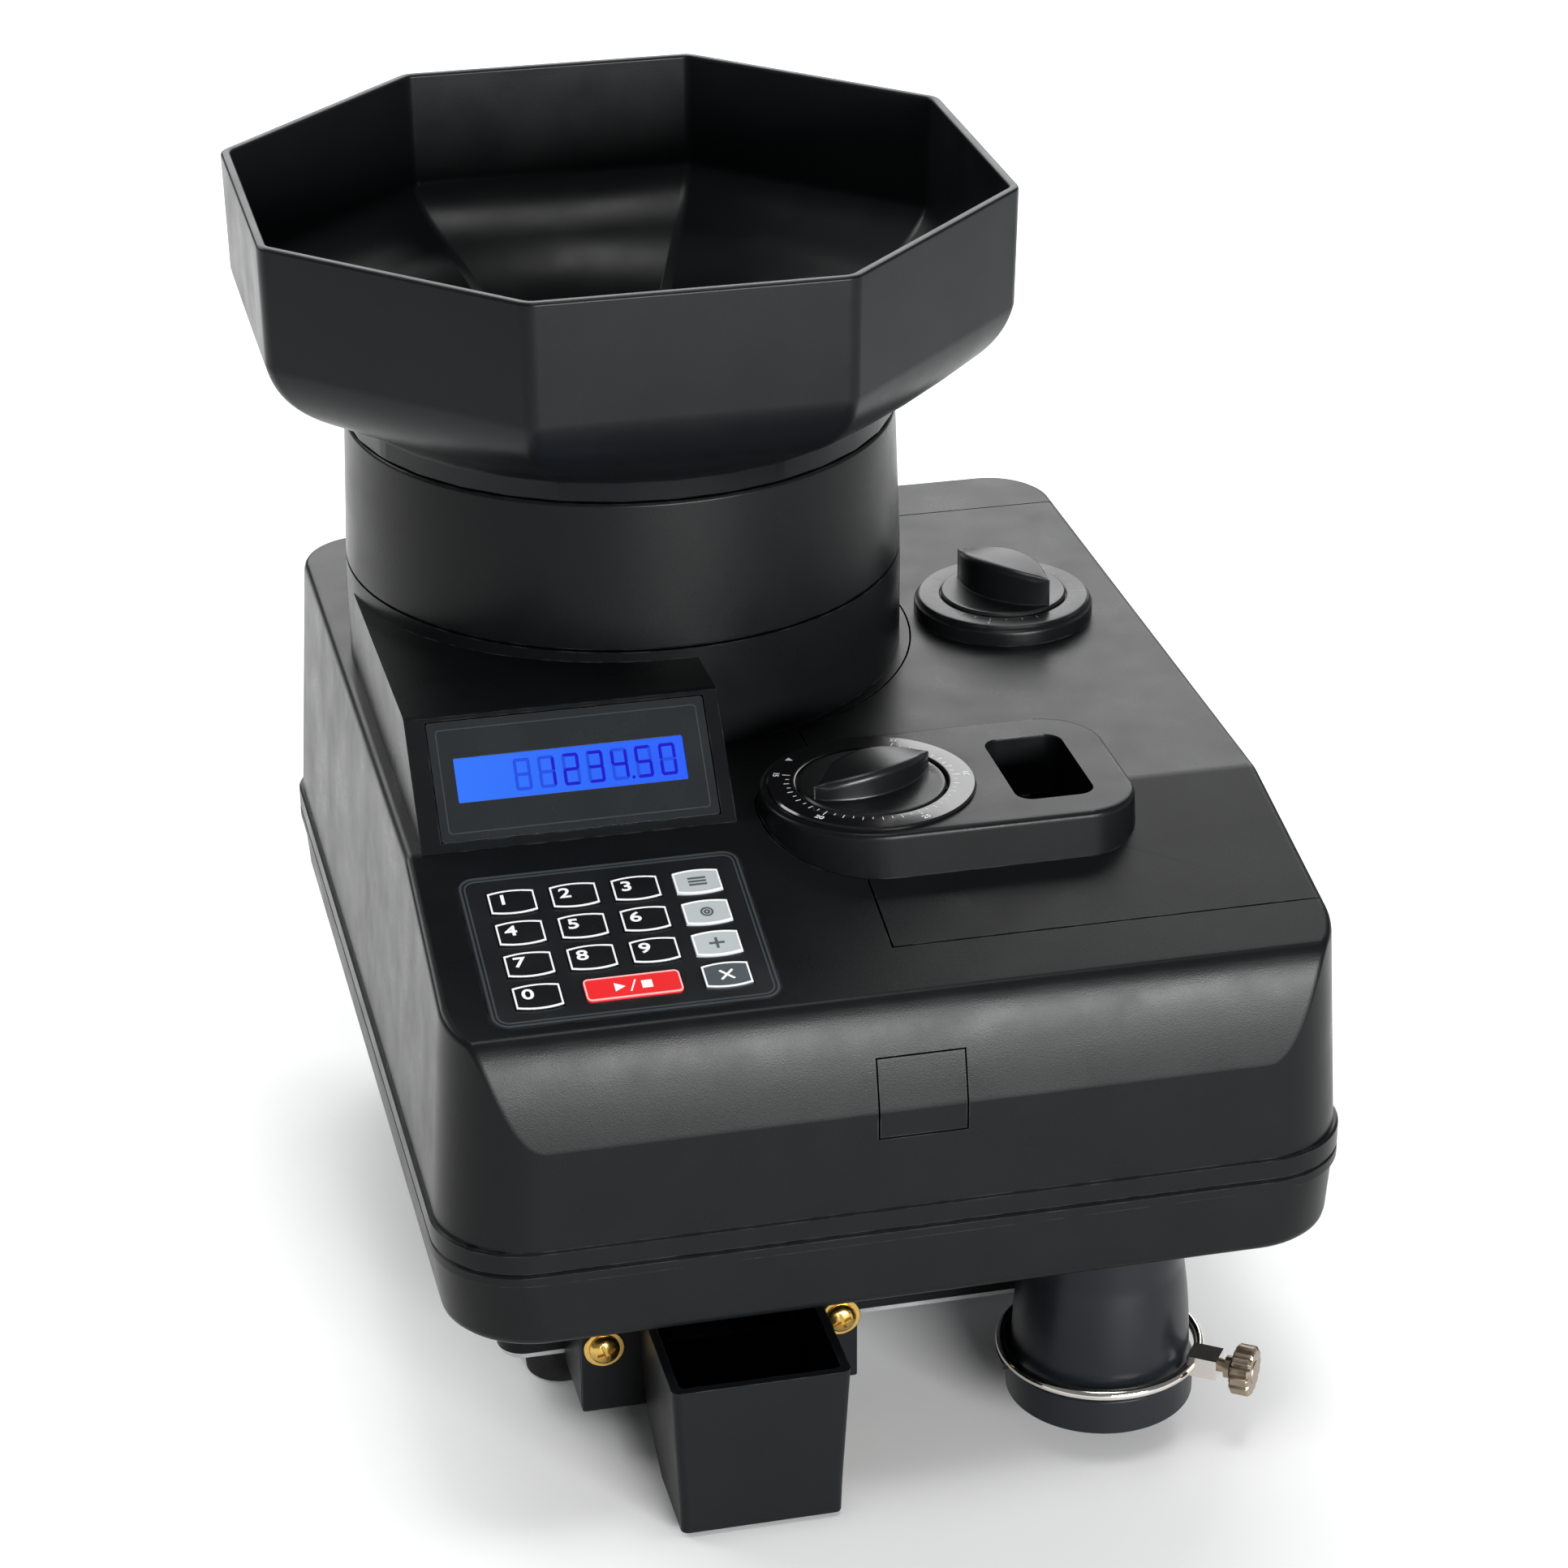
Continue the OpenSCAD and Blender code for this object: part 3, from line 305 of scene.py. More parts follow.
def loft(rings, closed=False):
    """Skin over rings of equal length. closed joins the last ring to the first, else both ends get caps."""
    count = len(rings[0])
    faces = []
    for r in range(len(rings) if closed else len(rings) - 1):
        a, b = r * count, (r + 1) % len(rings) * count
        faces += [(a + i, a + (i + 1) % count, b + (i + 1) % count, b + i) for i in range(count)]
    if not closed:
        last = (len(rings) - 1) * count
        faces += [tuple(range(count))[::-1], tuple(range(last, last + count))]
    return mesh_of([p for ring in rings for p in ring], faces)


def prism(outline, z0, z1):
    return loft([[(x, y, z) for x, y in outline] for z in (z0, z1)])


def turned(profile, steps=96, closed=False):
    """Solid of revolution about Z from (radius, height) points."""
    angles = [2 * pi * i / steps for i in range(steps)]
    return loft([[(r * cos(a), r * sin(a), z) for a in angles] for r, z in profile], closed)


def disc(x, y, r, z0, z1, steps=96):
    return moved(turned([(r, z0), (r, z1)], steps), x, y, 0)


def block(x0, y0, z0, x1, y1, z1):
    return prism([(x0, y0), (x1, y0), (x1, y1), (x0, y1)], z0, z1)


def moved(mesh, x, y, z):
    mesh.transform(Matrix.Translation((x, y, z)))
    return mesh


def turn(mesh, angle, axis="Z"):
    mesh.transform(Matrix.Rotation(radians(angle), 4, axis))
    return mesh


def axle(r, half, x, y, z, steps):
    """Round pin along Y."""
    return moved(turn(turned([(r, -half), (r, half)], steps), -90, "X"), x, y, z)


def arc(cx, cy, r, start, sweep, steps):
    """Points along part of a circle, with start and sweep in degrees."""
    angles = [radians(start + sweep * i / steps) for i in range(steps + 1)]
    return [(cx + r * cos(a), cy + r * sin(a)) for a in angles]


def round_box(x0, y0, x1, y1, r, steps=8):
    """Outline of a rounded rectangle."""
    corners = ((x1 - r, y1 - r, 0), (x0 + r, y1 - r, 90), (x0 + r, y0 + r, 180), (x1 - r, y0 + r, 270))
    return [point for x, y, start in corners for point in arc(x, y, r, start, 90, steps)]


def bezier(a, b, c, steps):
    """Points of a quadratic curve from a to c, pulled towards b."""
    points = []
    for i in range(steps + 1):
        t = i / steps
        points.append(tuple((1 - t) ** 2 * p + 2 * t * (1 - t) * q + t * t * r for p, q, r in zip(a, b, c)))
    return points


def holder(mesh):
    obj = bpy.data.objects.new("draft", mesh)
    bpy.context.scene.collection.objects.link(obj)
    return obj


def baked(obj):
    """The object's mesh with its modifiers applied; the object itself goes."""
    graph = bpy.context.evaluated_depsgraph_get()
    mesh = bpy.data.meshes.new_from_object(obj.evaluated_get(graph), preserve_all_data_layers=True,
                                           depsgraph=graph)
    bpy.data.objects.remove(obj)
    return mesh


def combine(operation, mesh, others):
    for other in others:
        base, tool = holder(mesh), holder(other)
        modifier = base.modifiers.new("combine", "BOOLEAN")
        modifier.operation, modifier.object, modifier.solver = operation, tool, "EXACT"
        mesh = baked(base)
        bpy.data.objects.remove(tool)
    return mesh


def cut(mesh, *others):
    return combine("DIFFERENCE", mesh, others)


def join(mesh, *others):
    return combine("UNION", mesh, others)


def meet(mesh, *others):
    return combine("INTERSECT", mesh, others)


def stack(meshes):
    """Separate shells in one mesh."""
    shape = bmesh.new()
    for mesh in meshes:
        shape.from_mesh(mesh)
    return draft_of(shape)


def cleaned(mesh, angle=0.4):
    """Welded, with flat areas merged into single faces so that bevels run clean."""
    shape = bmesh.new()
    shape.from_mesh(mesh)
    bmesh.ops.remove_doubles(shape, verts=shape.verts, dist=0.004)
    bmesh.ops.dissolve_degenerate(shape, edges=shape.edges, dist=0.002)
    bmesh.ops.dissolve_limit(shape, angle_limit=radians(angle), verts=shape.verts, edges=shape.edges)
    shape.to_mesh(mesh)
    shape.free()
    return mesh


def piece(name, mesh, material, body, nodes=(), bevel=0.0, angle=35, clean=True):
    """A finished piece of the visual model, made from a mesh in millimetres."""
    if clean:
        mesh = cleaned(mesh)
    mesh.transform(Matrix.Scale(MM, 4))
    mesh.polygons.foreach_set("use_smooth", [True] * len(mesh.polygons))
    obj = holder(mesh)
    if bevel:
        rounding = obj.modifiers.new("rounding", "BEVEL")
        rounding.width, rounding.segments = bevel * MM, 2
        rounding.limit_method, rounding.angle_limit = "ANGLE", radians(angle)
        rounding.miter_outer = "MITER_ARC"
        mesh = baked(obj)
        obj = holder(mesh)
    mesh.set_sharp_from_angle(angle=radians(angle + 5))
    normals = obj.modifiers.new("normals", "WEIGHTED_NORMAL")
    normals.keep_sharp = True
    mesh = baked(obj)
    mesh.name = name
    mesh.materials.clear()
    mesh.materials.append(M[material])
    obj = holder(mesh)
    obj.name = name
    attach(obj, body)
    if nodes:
        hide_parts(*nodes)
    return obj


# ---------- driving dimensions, the same as the CAD part's ----------
# FAR and HIGH only say how far a cutter reaches past the body.

TOP_Z = 179
TOP_W = 254.4
LOW_W = 265
BAND_W = 267.6
BASE_W = 262
BODY_X = 8.8
FRONT_Y = -165
BACK_Y = 161
BEND_Y = -77
BEND_SOFT = 1.5
SLOPE_DEG = 13.85
SLOPE = tan(radians(SLOPE_DEG))
SLOPE_END_Y = -153.5
SHOULDER_Y = -158
CREASE_Z = 128.5
FRONT_CORNER = 27
BACK_CORNER = 20
WALL = 3
SEAM_Z = 91
BASE_Z = 66.5
LIP_OUT = 1.1
LIP_IN = 0.5
DRUM_X, DRUM_Y = -27, 60
DRUM_R = 86.6
RING_Z0 = 211.8
RING_Z1 = 258.1
LID_X, LID_Y0, LID_Y1 = 9.5, -136.5, 134.8
LID_CUT_R = 89.7
LID_LOW_Z = 161
SEAM_GAP = 0.6
PLATFORM_Z = 185
DIAL_X, DIAL_Y = 19, -75
DIAL_R = 30.5
THICK_X, THICK_Y = 94, 50
BEZEL_DEG = 48.83
BEZEL_LEN = 40.25
BEZEL_X0, BEZEL_X1 = -113.4, -21.6
WINDOW_X, WINDOW_W = -66.6, 81.4
WINDOW_S0, WINDOW_S1 = 2.85, 38.85
PAD_X, PAD_W = -65.3, 81.8
PAD_S0, PAD_S1 = 12.4, 76.2
KEY_X0, KEY_S0, KEY_DX, KEY_DY = -98.4, 20, 17.7, 13.3
KEY_W, KEY_H = 13.4, 10.2
START_W = KEY_W * 2 + 0.5
LATCH = (-1, 120.5, 24, 143.5)
HINGE_X, HINGE_Z, HINGE_YS = 137, 160.5, (-70, 90)
OUTLET_X, OUTLET_Y = 74, -136
DROP_Y, DROP_R = -134, 17.8
PLINTH_X0, PLINTH_Y0, PLINTH_X1, PLINTH_Y1 = -98.6, -91.5, 115.8, 125
HOPPER_HALF = 113.5
HOPPER_TOP = (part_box("hopper")[1] / MM).z
BOX_X, BOX_RIM_Z = -37, 50.6
BLOCK_X0, BLOCK_X1, BLOCK_Y = -79.3, 4, -117.6
SCREW_XS, SCREW_Z = (-72.6, -1.4), 33.7
CLAMP_TURN = -35
FEET_X, FEET_Y = (-78, 95), (-75, 108)
POSTS = ((-92, -118), (-92, 135), (112, -95), (112, 135))
PANEL_Z, GLASS_Z = -2.4, -0.9
INK = 0.06
FAR, HIGH = 200, 220

ON_SLOPE = Matrix.Translation((0, BEND_Y, TOP_Z)) @ Matrix.Rotation(radians(SLOPE_DEG), 4, "X")
ON_BEZEL = Matrix.Translation((0, BEND_Y - 0.5, TOP_Z)) @ Matrix.Rotation(radians(BEZEL_DEG), 4, "X")


def placed(mesh, matrix):
    mesh.transform(matrix)
    return mesh


def at_drum(mesh):
    return moved(mesh, DRUM_X, DRUM_Y, 0)


def drum_disc(r, z0, z1):
    return disc(DRUM_X, DRUM_Y, r, z0, z1, 256)


# ---------- housing ----------

def half_width(z):
    return LOW_W / 2 + (TOP_W - LOW_W) / 2 * (z - SEAM_Z) / (TOP_Z - SEAM_Z)


def slope_z(y):
    return TOP_Z + (y - BEND_Y) * SLOPE


def roof(y):
    """Height of the housing's top at y: flat, sloped, then the rounded shoulder down to the crease."""
    past = BEND_Y + BEND_SOFT - y
    if past < 0:
        return TOP_Z
    if past < 2 * BEND_SOFT:
        return TOP_Z - SLOPE * past * past / (4 * BEND_SOFT)
    if y > SLOPE_END_Y:
        return slope_z(y)
    y = max(y, FRONT_Y)
    a = SLOPE_END_Y - 2 * SHOULDER_Y + FRONT_Y
    b = 2 * (SHOULDER_Y - SLOPE_END_Y)
    t = (-b - sqrt(b * b - 4 * a * (SLOPE_END_Y - y))) / (2 * a)
    return (1 - t) ** 2 * slope_z(SLOPE_END_Y) + 2 * t * (1 - t) * slope_z(SHOULDER_Y) + t * t * CREASE_Z


def side_contour(inset, steps=24):
    """(distance in from the side, y, outward normal) from the front round to the back, on one side."""
    quarter = [radians(90 * i / steps) for i in range(steps + 1)]
    points = []
    for a in quarter:
        r = FRONT_CORNER - inset
        points.append((FRONT_CORNER - r * sin(a), FRONT_Y + FRONT_CORNER - r * cos(a), sin(a), -cos(a)))
    bend = [BEND_Y + BEND_SOFT * (i - 3) / 3 for i in range(7)]
    for y in [-125, -110, -95] + bend + [-55, -25, 0, 30, 60, 90, 120]:
        points.append((inset, y, 1, 0))
    for a in reversed(quarter):
        r = BACK_CORNER - inset
        points.append((BACK_CORNER - r * sin(a), BACK_Y - BACK_CORNER + r * cos(a), sin(a), cos(a)))
    return points


def both_sides(columns):
    """Closed solid from one side's columns of (distance from the middle, y, z), bottom first."""
    count, rows = len(columns), len(columns[0])
    vertices = [(BODY_X + side * x, y, z) for side in (1, -1) for column in columns for x, y, z in column]
    right = lambda k, m: k * rows + m
    left = lambda k, m: (count + k) * rows + m
    faces = []
    for m in range(rows - 1):
        for k in range(count - 1):
            for at in (right, left):
                faces.append((at(k, m), at(k + 1, m), at(k + 1, m + 1), at(k, m + 1)))
        for k in (0, count - 1):
            faces.append((right(k, m), left(k, m), left(k, m + 1), right(k, m + 1)))
    for m in (0, rows - 1):
        faces += [(right(k, m), right(k + 1, m), left(k + 1, m), left(k, m)) for k in range(count - 1)]
    return mesh_of(vertices, faces)


def housing_block(inset, low, soft):
    """The housing's outer shape drawn in by inset, with edges rounded over about soft."""
    columns = []
    for inward, y, across, along in side_contour(inset):
        steep = (roof(y + 0.1) - roof(y - 0.1)) / 0.2
        drop = inset * sqrt(1 + steep * steep)
        top = roof(y) - drop
        s = soft * (0.12 + 0.88 * across * across)
        back_y = y - along * s
        a = (half_width(top - s) - inward, y, top - s)
        b = (half_width(top) - inward, y, top)
        c = (half_width(top) - inward - across * s, back_y, roof(back_y) - drop)
        columns.append([(half_width(low) - inward, y, low)] + bezier(a, b, c, 4))
    return both_sides(columns)


def housing_skin(wall=WALL):
    return cut(housing_block(0, SEAM_Z, 2.6), housing_block(wall, SEAM_Z - 1, 1))


def plan_ring(w, inset, z, grow=0.0, steps=16):
    """Housing's plan at width w, drawn in by inset, its front and back moved out by grow."""
    ring = []
    corners = ((1, BACK_CORNER, 0, BACK_Y + grow, 1), (-1, BACK_CORNER, 90, BACK_Y + grow, 1),
               (-1, FRONT_CORNER, 180, FRONT_Y - grow, -1), (1, FRONT_CORNER, 270, FRONT_Y - grow, -1))
    for side, r, start, edge, way in corners:
        cx, cy = BODY_X + side * (w / 2 - r), edge - way * r
        ring += [(x, y, z) for x, y in arc(cx, cy, r - inset, start, 90, steps)]
    return ring


def lid_prism(gap, z0, z1):
    x0, y0, y1 = LID_X + gap, LID_Y0 + gap, LID_Y1 - gap
    around_dial = disc(DIAL_X, DIAL_Y, 34 - gap, z0, z1, 160)
    return cut(join(prism([(x0, y0), (FAR, y0), (FAR, y1), (x0, y1)], z0, z1), around_dial),
               drum_disc(LID_CUT_R + gap, z0 - 1, z1 + 1))


def hood_solid(inset):
    """Wedge behind the display bezel that runs back into the drum."""
    c, s = cos(radians(BEZEL_DEG)), sin(radians(BEZEL_DEG))
    top = (BEND_Y - 0.5 + BEZEL_LEN * c + inset * 0.6, TOP_Z + BEZEL_LEN * s - inset)
    side = [(BEND_Y - 0.5 + inset * 1.2, TOP_Z - inset * 0.4), top, (top[0] + 2, top[1] + 0.3),
            (52, TOP_Z + 26.7 - inset), (52, TOP_Z - 12), (BEND_Y + 6 + inset, TOP_Z - 12)]
    return loft([[(x, y, z) for y, z in side] for x in (BEZEL_X0 + inset, BEZEL_X1 - inset)])


def bezel_openings():
    x0, x1, gap = WINDOW_X - WINDOW_W / 2, WINDOW_X + WINDOW_W / 2, 0.15
    panel = block(x0 - gap, WINDOW_S0 - gap, PANEL_Z, x1 + gap, WINDOW_S1 + gap, 5)
    return [placed(mesh, ON_BEZEL) for mesh in (panel, block(x0 + 2, 5, -8, x1 - 2, 36.5, 2))]


def keypad_openings():
    x0, x1 = PAD_X - PAD_W / 2, PAD_X + PAD_W / 2
    pad = prism(round_box(x0, -PAD_S1, x1, -PAD_S0, 5), -0.8, 5)
    inside = prism(round_box(x0 + 3.5, -PAD_S1 + 2.5, x1 - 3.5, -PAD_S0 - 4, 3), -8, 2)
    return [placed(mesh, ON_SLOPE) for mesh in (pad, inside)]


def lip(z0, z1):
    """Band that stands a little proud of the walls along the seam."""
    edge = 0.7
    side = ((LIP_IN, z0), (LIP_IN, z1 - edge), (LIP_IN + edge, z1), (4.6, z1), (4.6, z0))
    return loft([plan_ring(BAND_W, inset, z, LIP_OUT) for inset, z in side], True)


def make_housing():
    skin = cut(housing_skin(), lid_prism(0, LID_LOW_Z - SEAM_GAP, HIGH), drum_disc(DRUM_R - 1.2, 150, 190))
    skin = cut(skin, hood_solid(WALL))
    tower = join(hood_solid(0), drum_disc(DRUM_R, TOP_Z - 10, RING_Z0))
    tower = cut(tower, hood_solid(WALL), block(-FAR, -FAR, 100, FAR, FAR, TOP_Z - WALL),
                drum_disc(DRUM_R - WALL, 150, 230))
    tower = cut(tower, block(LID_X - 40, 0, 100, FAR, FAR, TOP_Z - 0.02))
    shell = join(skin, tower, lip(SEAM_Z + 0.1, SEAM_Z + 6.7))
    x0, z0, x1, z1 = LATCH
    gap = 0.5
    latch_hole = block(x0 - gap, FRONT_Y - 5, z0 - gap, x1 + gap, FRONT_Y + 15, z1 + gap)
    shell = cut(shell, *bezel_openings(), *keypad_openings(), latch_hole)
    shell = cut(shell, *[block(HINGE_X - 9, y - 16.5, 151, HINGE_X + 11, y + 16.5, 163) for y in HINGE_YS])
    piece("housing_shell", shell, "housing", "base", ["top_housing"], bevel=0.45)


def make_base():
    rings = [(BASE_W, 3.2, BASE_Z), (BASE_W, 1.5, BASE_Z + 0.35), (BASE_W, 0.4, BASE_Z + 1.4),
             (BASE_W, 0, BASE_Z + 3), (LOW_W, 0, SEAM_Z - 3)]
    outer = loft([plan_ring(w, inset, z) for w, inset, z in rings])
    inner = loft([plan_ring(w, 3.5, z) for w, z in ((BASE_W, BASE_Z + WALL), (LOW_W, SEAM_Z + 1))])
    tray = join(cut(outer, inner), lip(SEAM_Z - 4, SEAM_Z - 0.55))
    plinth = round_box(PLINTH_X0 + 3, PLINTH_Y0 + 3, PLINTH_X1 - 3, PLINTH_Y1 - 3, 6)
    tray = cut(tray, prism(plinth, BASE_Z - 1, BASE_Z + 7),
               block(-76.3, -114.6, BASE_Z - 5, 1, -94.5, BASE_Z + 9),
               disc(OUTLET_X, OUTLET_Y, 23.8, BASE_Z - 1, BASE_Z + 7))
    posts = [disc(x, y, 5, BASE_Z + WALL - 0.5, 146, 32) for x, y in POSTS]
    piece("base_tray", join(tray, *posts), "base", "base", ["base_shell"], bevel=0.45)


def make_drum_ring():
    z0, z1, inside = RING_Z0 + 0.45, RING_Z1, DRUM_R - WALL - 0.1
    profile = [(81.4, RING_Z0 - 5), (inside, RING_Z0 - 5), (inside, z0), (85.9, z0), (86.4, z0 + 0.3),
               (86.5, z0 + 0.9), (84.9, z1 - 1), (84.7, z1 - 0.4), (84.3, z1), (81.4, z1)]
    piece("drum_band", at_drum(turned(profile, 256, True)), "housing", "base", ["drum_ring"],
          clean=False)


# ---------- hopper ----------

def octagon_ring(half, soft, z, toward=0.0, radius=85.0, steps=8):
    """Octagon with corners rounded by soft, drawn toward a circle of the given radius."""
    eighth = radians(22.5)
    out = (half - soft) / cos(eighth)
    points = []
    for corner in range(8):
        middle, flat = radians(22.5 + 45 * corner), radians(45 * (corner + 1))
        for i in range(steps + 1):
            a = middle + radians(-22.5 + 45 * i / steps)
            points.append((out * cos(middle) + soft * cos(a), out * sin(middle) + soft * sin(a)))
        for i in (1, 2, 3):
            along = (i / 4 - 0.5) * 2 * (half - soft) * tan(eighth)
            points.append((half * cos(flat) - along * sin(flat), half * sin(flat) + along * cos(flat)))
    scales = [1 + toward * (radius / sqrt(x * x + y * y) - 1) for x, y in points]
    return [(x * k, y * k, z) for (x, y), k in zip(points, scales)]


def make_hopper():
    skirt, skirt_z = 84.7, 264.5
    rings = [octagon_ring(112, 7, z, 1, r)
             for r, z in ((80.8, RING_Z1 - 10), (80.8, RING_Z1 + 0.4), (84.0, RING_Z1 + 0.45),
                          (skirt, RING_Z1 + 1.0), (skirt, skirt_z))]
    under = bezier((1.0, skirt_z), (0.95, 267.5), (0.62, 272.5), 5)[1:]
    under += bezier((0.62, 272.5), (0.08, 280.5), (0.0, 296), 14)[1:]
    for toward, z in under:
        rings.append(octagon_ring(112.4 + (z - 264) * 0.012, 7 + 3 * toward, z, toward, skirt))
    for inset, down in ((0, 1.0), (0.25, 0.35), (0.8, 0), (2.3, 0), (2.8, 0.35), (3, 1)):
        rings.append(octagon_ring(HOPPER_HALF - inset, 7 - inset, HOPPER_TOP - down))
    for toward, z in bezier((0.0, 298), (0.05, 287), (0.5, 279), 10) + [(1.0, 267.5)]:
        rings.append(octagon_ring(109.6 + (z - 287) * 0.015, 4 + 4 * toward, z, toward, 76))
    rings.append(octagon_ring(112, 7, RING_Z1 - 10, 1, 74))
    piece("hopper_bowl_shell", at_drum(loft(rings, True)), "hopper", "hopper_bowl", ["hopper"],
          clean=False, angle=50)


# ---------- lid ----------

def platform_outline(inset, steps=24):
    """Round end about the dial, and rounded corners at the window's end."""
    r, corner = 33 - inset, 18 - inset
    x = 93.5 - inset - corner
    return (arc(DIAL_X, DIAL_Y, r, 90, 180, 2 * steps)
            + arc(x, DIAL_Y - r + corner, corner, 270, 90, steps)
            + arc(x, DIAL_Y + r - corner, corner, 0, 90, steps))


def make_lid():
    top = meet(housing_skin(), lid_prism(SEAM_GAP, LID_LOW_Z, HIGH))
    fillet = bezier((0.0, PLATFORM_Z - 2.0), (0.0, PLATFORM_Z), (2.0, PLATFORM_Z), 4)
    rings = [[(x, y, z) for x, y in platform_outline(inset)] for inset, z in [(-0.9, TOP_Z - 16)] + fillet]
    hollow = prism(platform_outline(WALL), TOP_Z - 17, PLATFORM_Z - WALL)
    well = prism(round_box(55.5, -98, 83.5, -52, 7), 166, PLATFORM_Z - 1)
    rim = [(28.5, TOP_Z - 2), (28.5, TOP_Z + 3.6), (28.2, TOP_Z + 4.4), (27.4, TOP_Z + 4.9),
           (27.0, TOP_Z + 5.5)]
    shell = join(top, cut(loft(rings), hollow), well, disc(DIAL_X, DIAL_Y, 8, 172, PLATFORM_Z - 1, 64),
                 disc(THICK_X, THICK_Y, 8, 170, TOP_Z - 1, 64),
                 moved(turned(rim, 160), THICK_X, THICK_Y, 0))
    for y in HINGE_YS:
        lug = block(HINGE_X - 3, y - 10, HINGE_Z, HINGE_X + 0.5, y + 10, HINGE_Z + 6)
        shell = join(shell, axle(3, 10, HINGE_X, y, HINGE_Z, 48), lug)
    window = [[(x, y, z) for x, y in round_box(58 + g, -95.5 + g, 81 - g, -54.5 - g, 5 - g / 2)]
              for g, z in ((0.6, 164), (0, PLATFORM_Z - 1), (-0.6, PLATFORM_Z + 1))]
    shell = cut(shell, loft(window), disc(DIAL_X, DIAL_Y, 4.35, 170, FAR, 64),
                disc(DIAL_X, DIAL_Y, DIAL_R + 0.1, PLATFORM_Z - 0.5, FAR, 160),
                disc(DIAL_X, DIAL_Y, 22.3, PLATFORM_Z - 1, FAR, 160),
                disc(THICK_X, THICK_Y, 4.35, 165, FAR, 64))
    for y in HINGE_YS:
        ends = [axle(3.2, 3.15, HINGE_X, y + s, HINGE_Z, 48) for s in (-13.35, 13.35)]
        shell = cut(shell, axle(1.55, 11, HINGE_X, y, HINGE_Z, 32), *ends)
    striker = [block(13, -129, 153.5, 23, -127, 165), block(13, -129, 153.5, 23, -126.5, 155.5)]
    piece("lid_shell", join(shell, *striker), "housing", "lid", ["right_lid"], bevel=0.4)


def make_latch():
    x0, z0, x1, z1 = LATCH
    face = meet(housing_skin(4), block(x0, FRONT_Y - 2, z0, x1, FRONT_Y + 18, z1))
    arm = [block(4, -160, 126, 8, -119, 138), block(4, -126, 126, 8, -119, 158.5),
           block(4, -126, 156.3, 21, -119, 158.5)]
    piece("latch_face", join(face, *arm), "housing", "latch", ["latch_button"], bevel=0.35)


# ---------- printed marks ----------

def lettering(text, size, wide=1.0, bold=0.0):
    """Raised print from Blender's own font, centred on the origin, facing +Z."""
    curve = bpy.data.curves.new("lettering", "FONT")
    curve.body, curve.size, curve.offset, curve.extrude = text, size, bold, INK / 2
    curve.align_x, curve.align_y, curve.resolution_u = "CENTER", "CENTER", 4
    mesh = baked(holder(curve))
    mesh.transform(Matrix.Translation((0, 0, INK / 2)) @ Matrix.Diagonal((wide, 1, 1, 1)))
    return mesh


def bar(x0, y0, x1, y1, z=0.0):
    return block(x0, y0, z, x1, y1, z + INK)


def ring_of(outer, inner, z0, z1):
    """Flat frame between two outlines of equal length."""
    edges = ((outer, z0), (outer, z1), (inner, z1), (inner, z0))
    return loft([[(x, y, z) for x, y in outline] for outline, z in edges], True)


# ---------- display ----------

SEGMENTS = {"0": "abcdef", "1": "bc", "2": "abged", "3": "abgcd", "4": "fgbc", "5": "afgcd", "6": "afgedc",
            "7": "abc", "8": "abcdefg", "9": "abcdfg"}
LCD_X0, LCD_X1, LCD_S0, LCD_S1 = -100.7, -33.6, 14.3, 27.6
DIGIT_W, DIGIT_H, DIGIT_STEP, STROKE, SEGMENT_THICK = 4.9, 9.6, 7.1, 0.95, 0.04
DIGIT_X, DIGIT_S = LCD_X1 - 2.6 - DIGIT_W, LCD_S0 + 1.9


def segment(name):
    """One stroke of a seven-segment digit whose lower left corner is at the origin."""
    w, h, s, g = DIGIT_W, DIGIT_H, STROKE, 0.13
    flat = [(0, s / 2), (s / 2, 0), (w - s / 2, 0), (w, s / 2), (w - s / 2, s), (s / 2, s)]
    tall = [(s / 2, g), (s, s / 2 + g), (s, h / 2 - s / 2 - g), (s / 2, h / 2 - g), (0, h / 2 - s / 2 - g),
            (0, s / 2 + g)]
    spots = {"d": (flat, 0, 0), "g": (flat, 0, h / 2 - s / 2), "a": (flat, 0, h - s), "e": (tall, 0, s / 4),
             "f": (tall, 0, h / 2 - s / 4), "c": (tall, w - s, s / 4), "b": (tall, w - s, h / 2 - s / 4)}
    outline, x, y = spots[name]
    inset = g if outline is flat else 0
    points = [(px + x + (inset if px < w / 2 else -inset), py + y) for px, py in outline]
    return prism(points, 0, SEGMENT_THICK)


def digits(shown, chosen):
    """The strokes of each digit that chosen(character, stroke) picks, right aligned on the display."""
    meshes = []
    for place, character in enumerate(reversed(shown)):
        x = DIGIT_X - place * DIGIT_STEP
        meshes += [moved(segment(name), x, DIGIT_S, 0) for name in "abcdefg" if chosen(character, name)]
    return meshes


def window_outline(inset, corner):
    """Outline of the display window, drawn in by inset."""
    x0, x1 = WINDOW_X - WINDOW_W / 2 + inset, WINDOW_X + WINDOW_W / 2 - inset
    return round_box(x0, WINDOW_S0 + inset, x1, WINDOW_S1 - inset, corner)


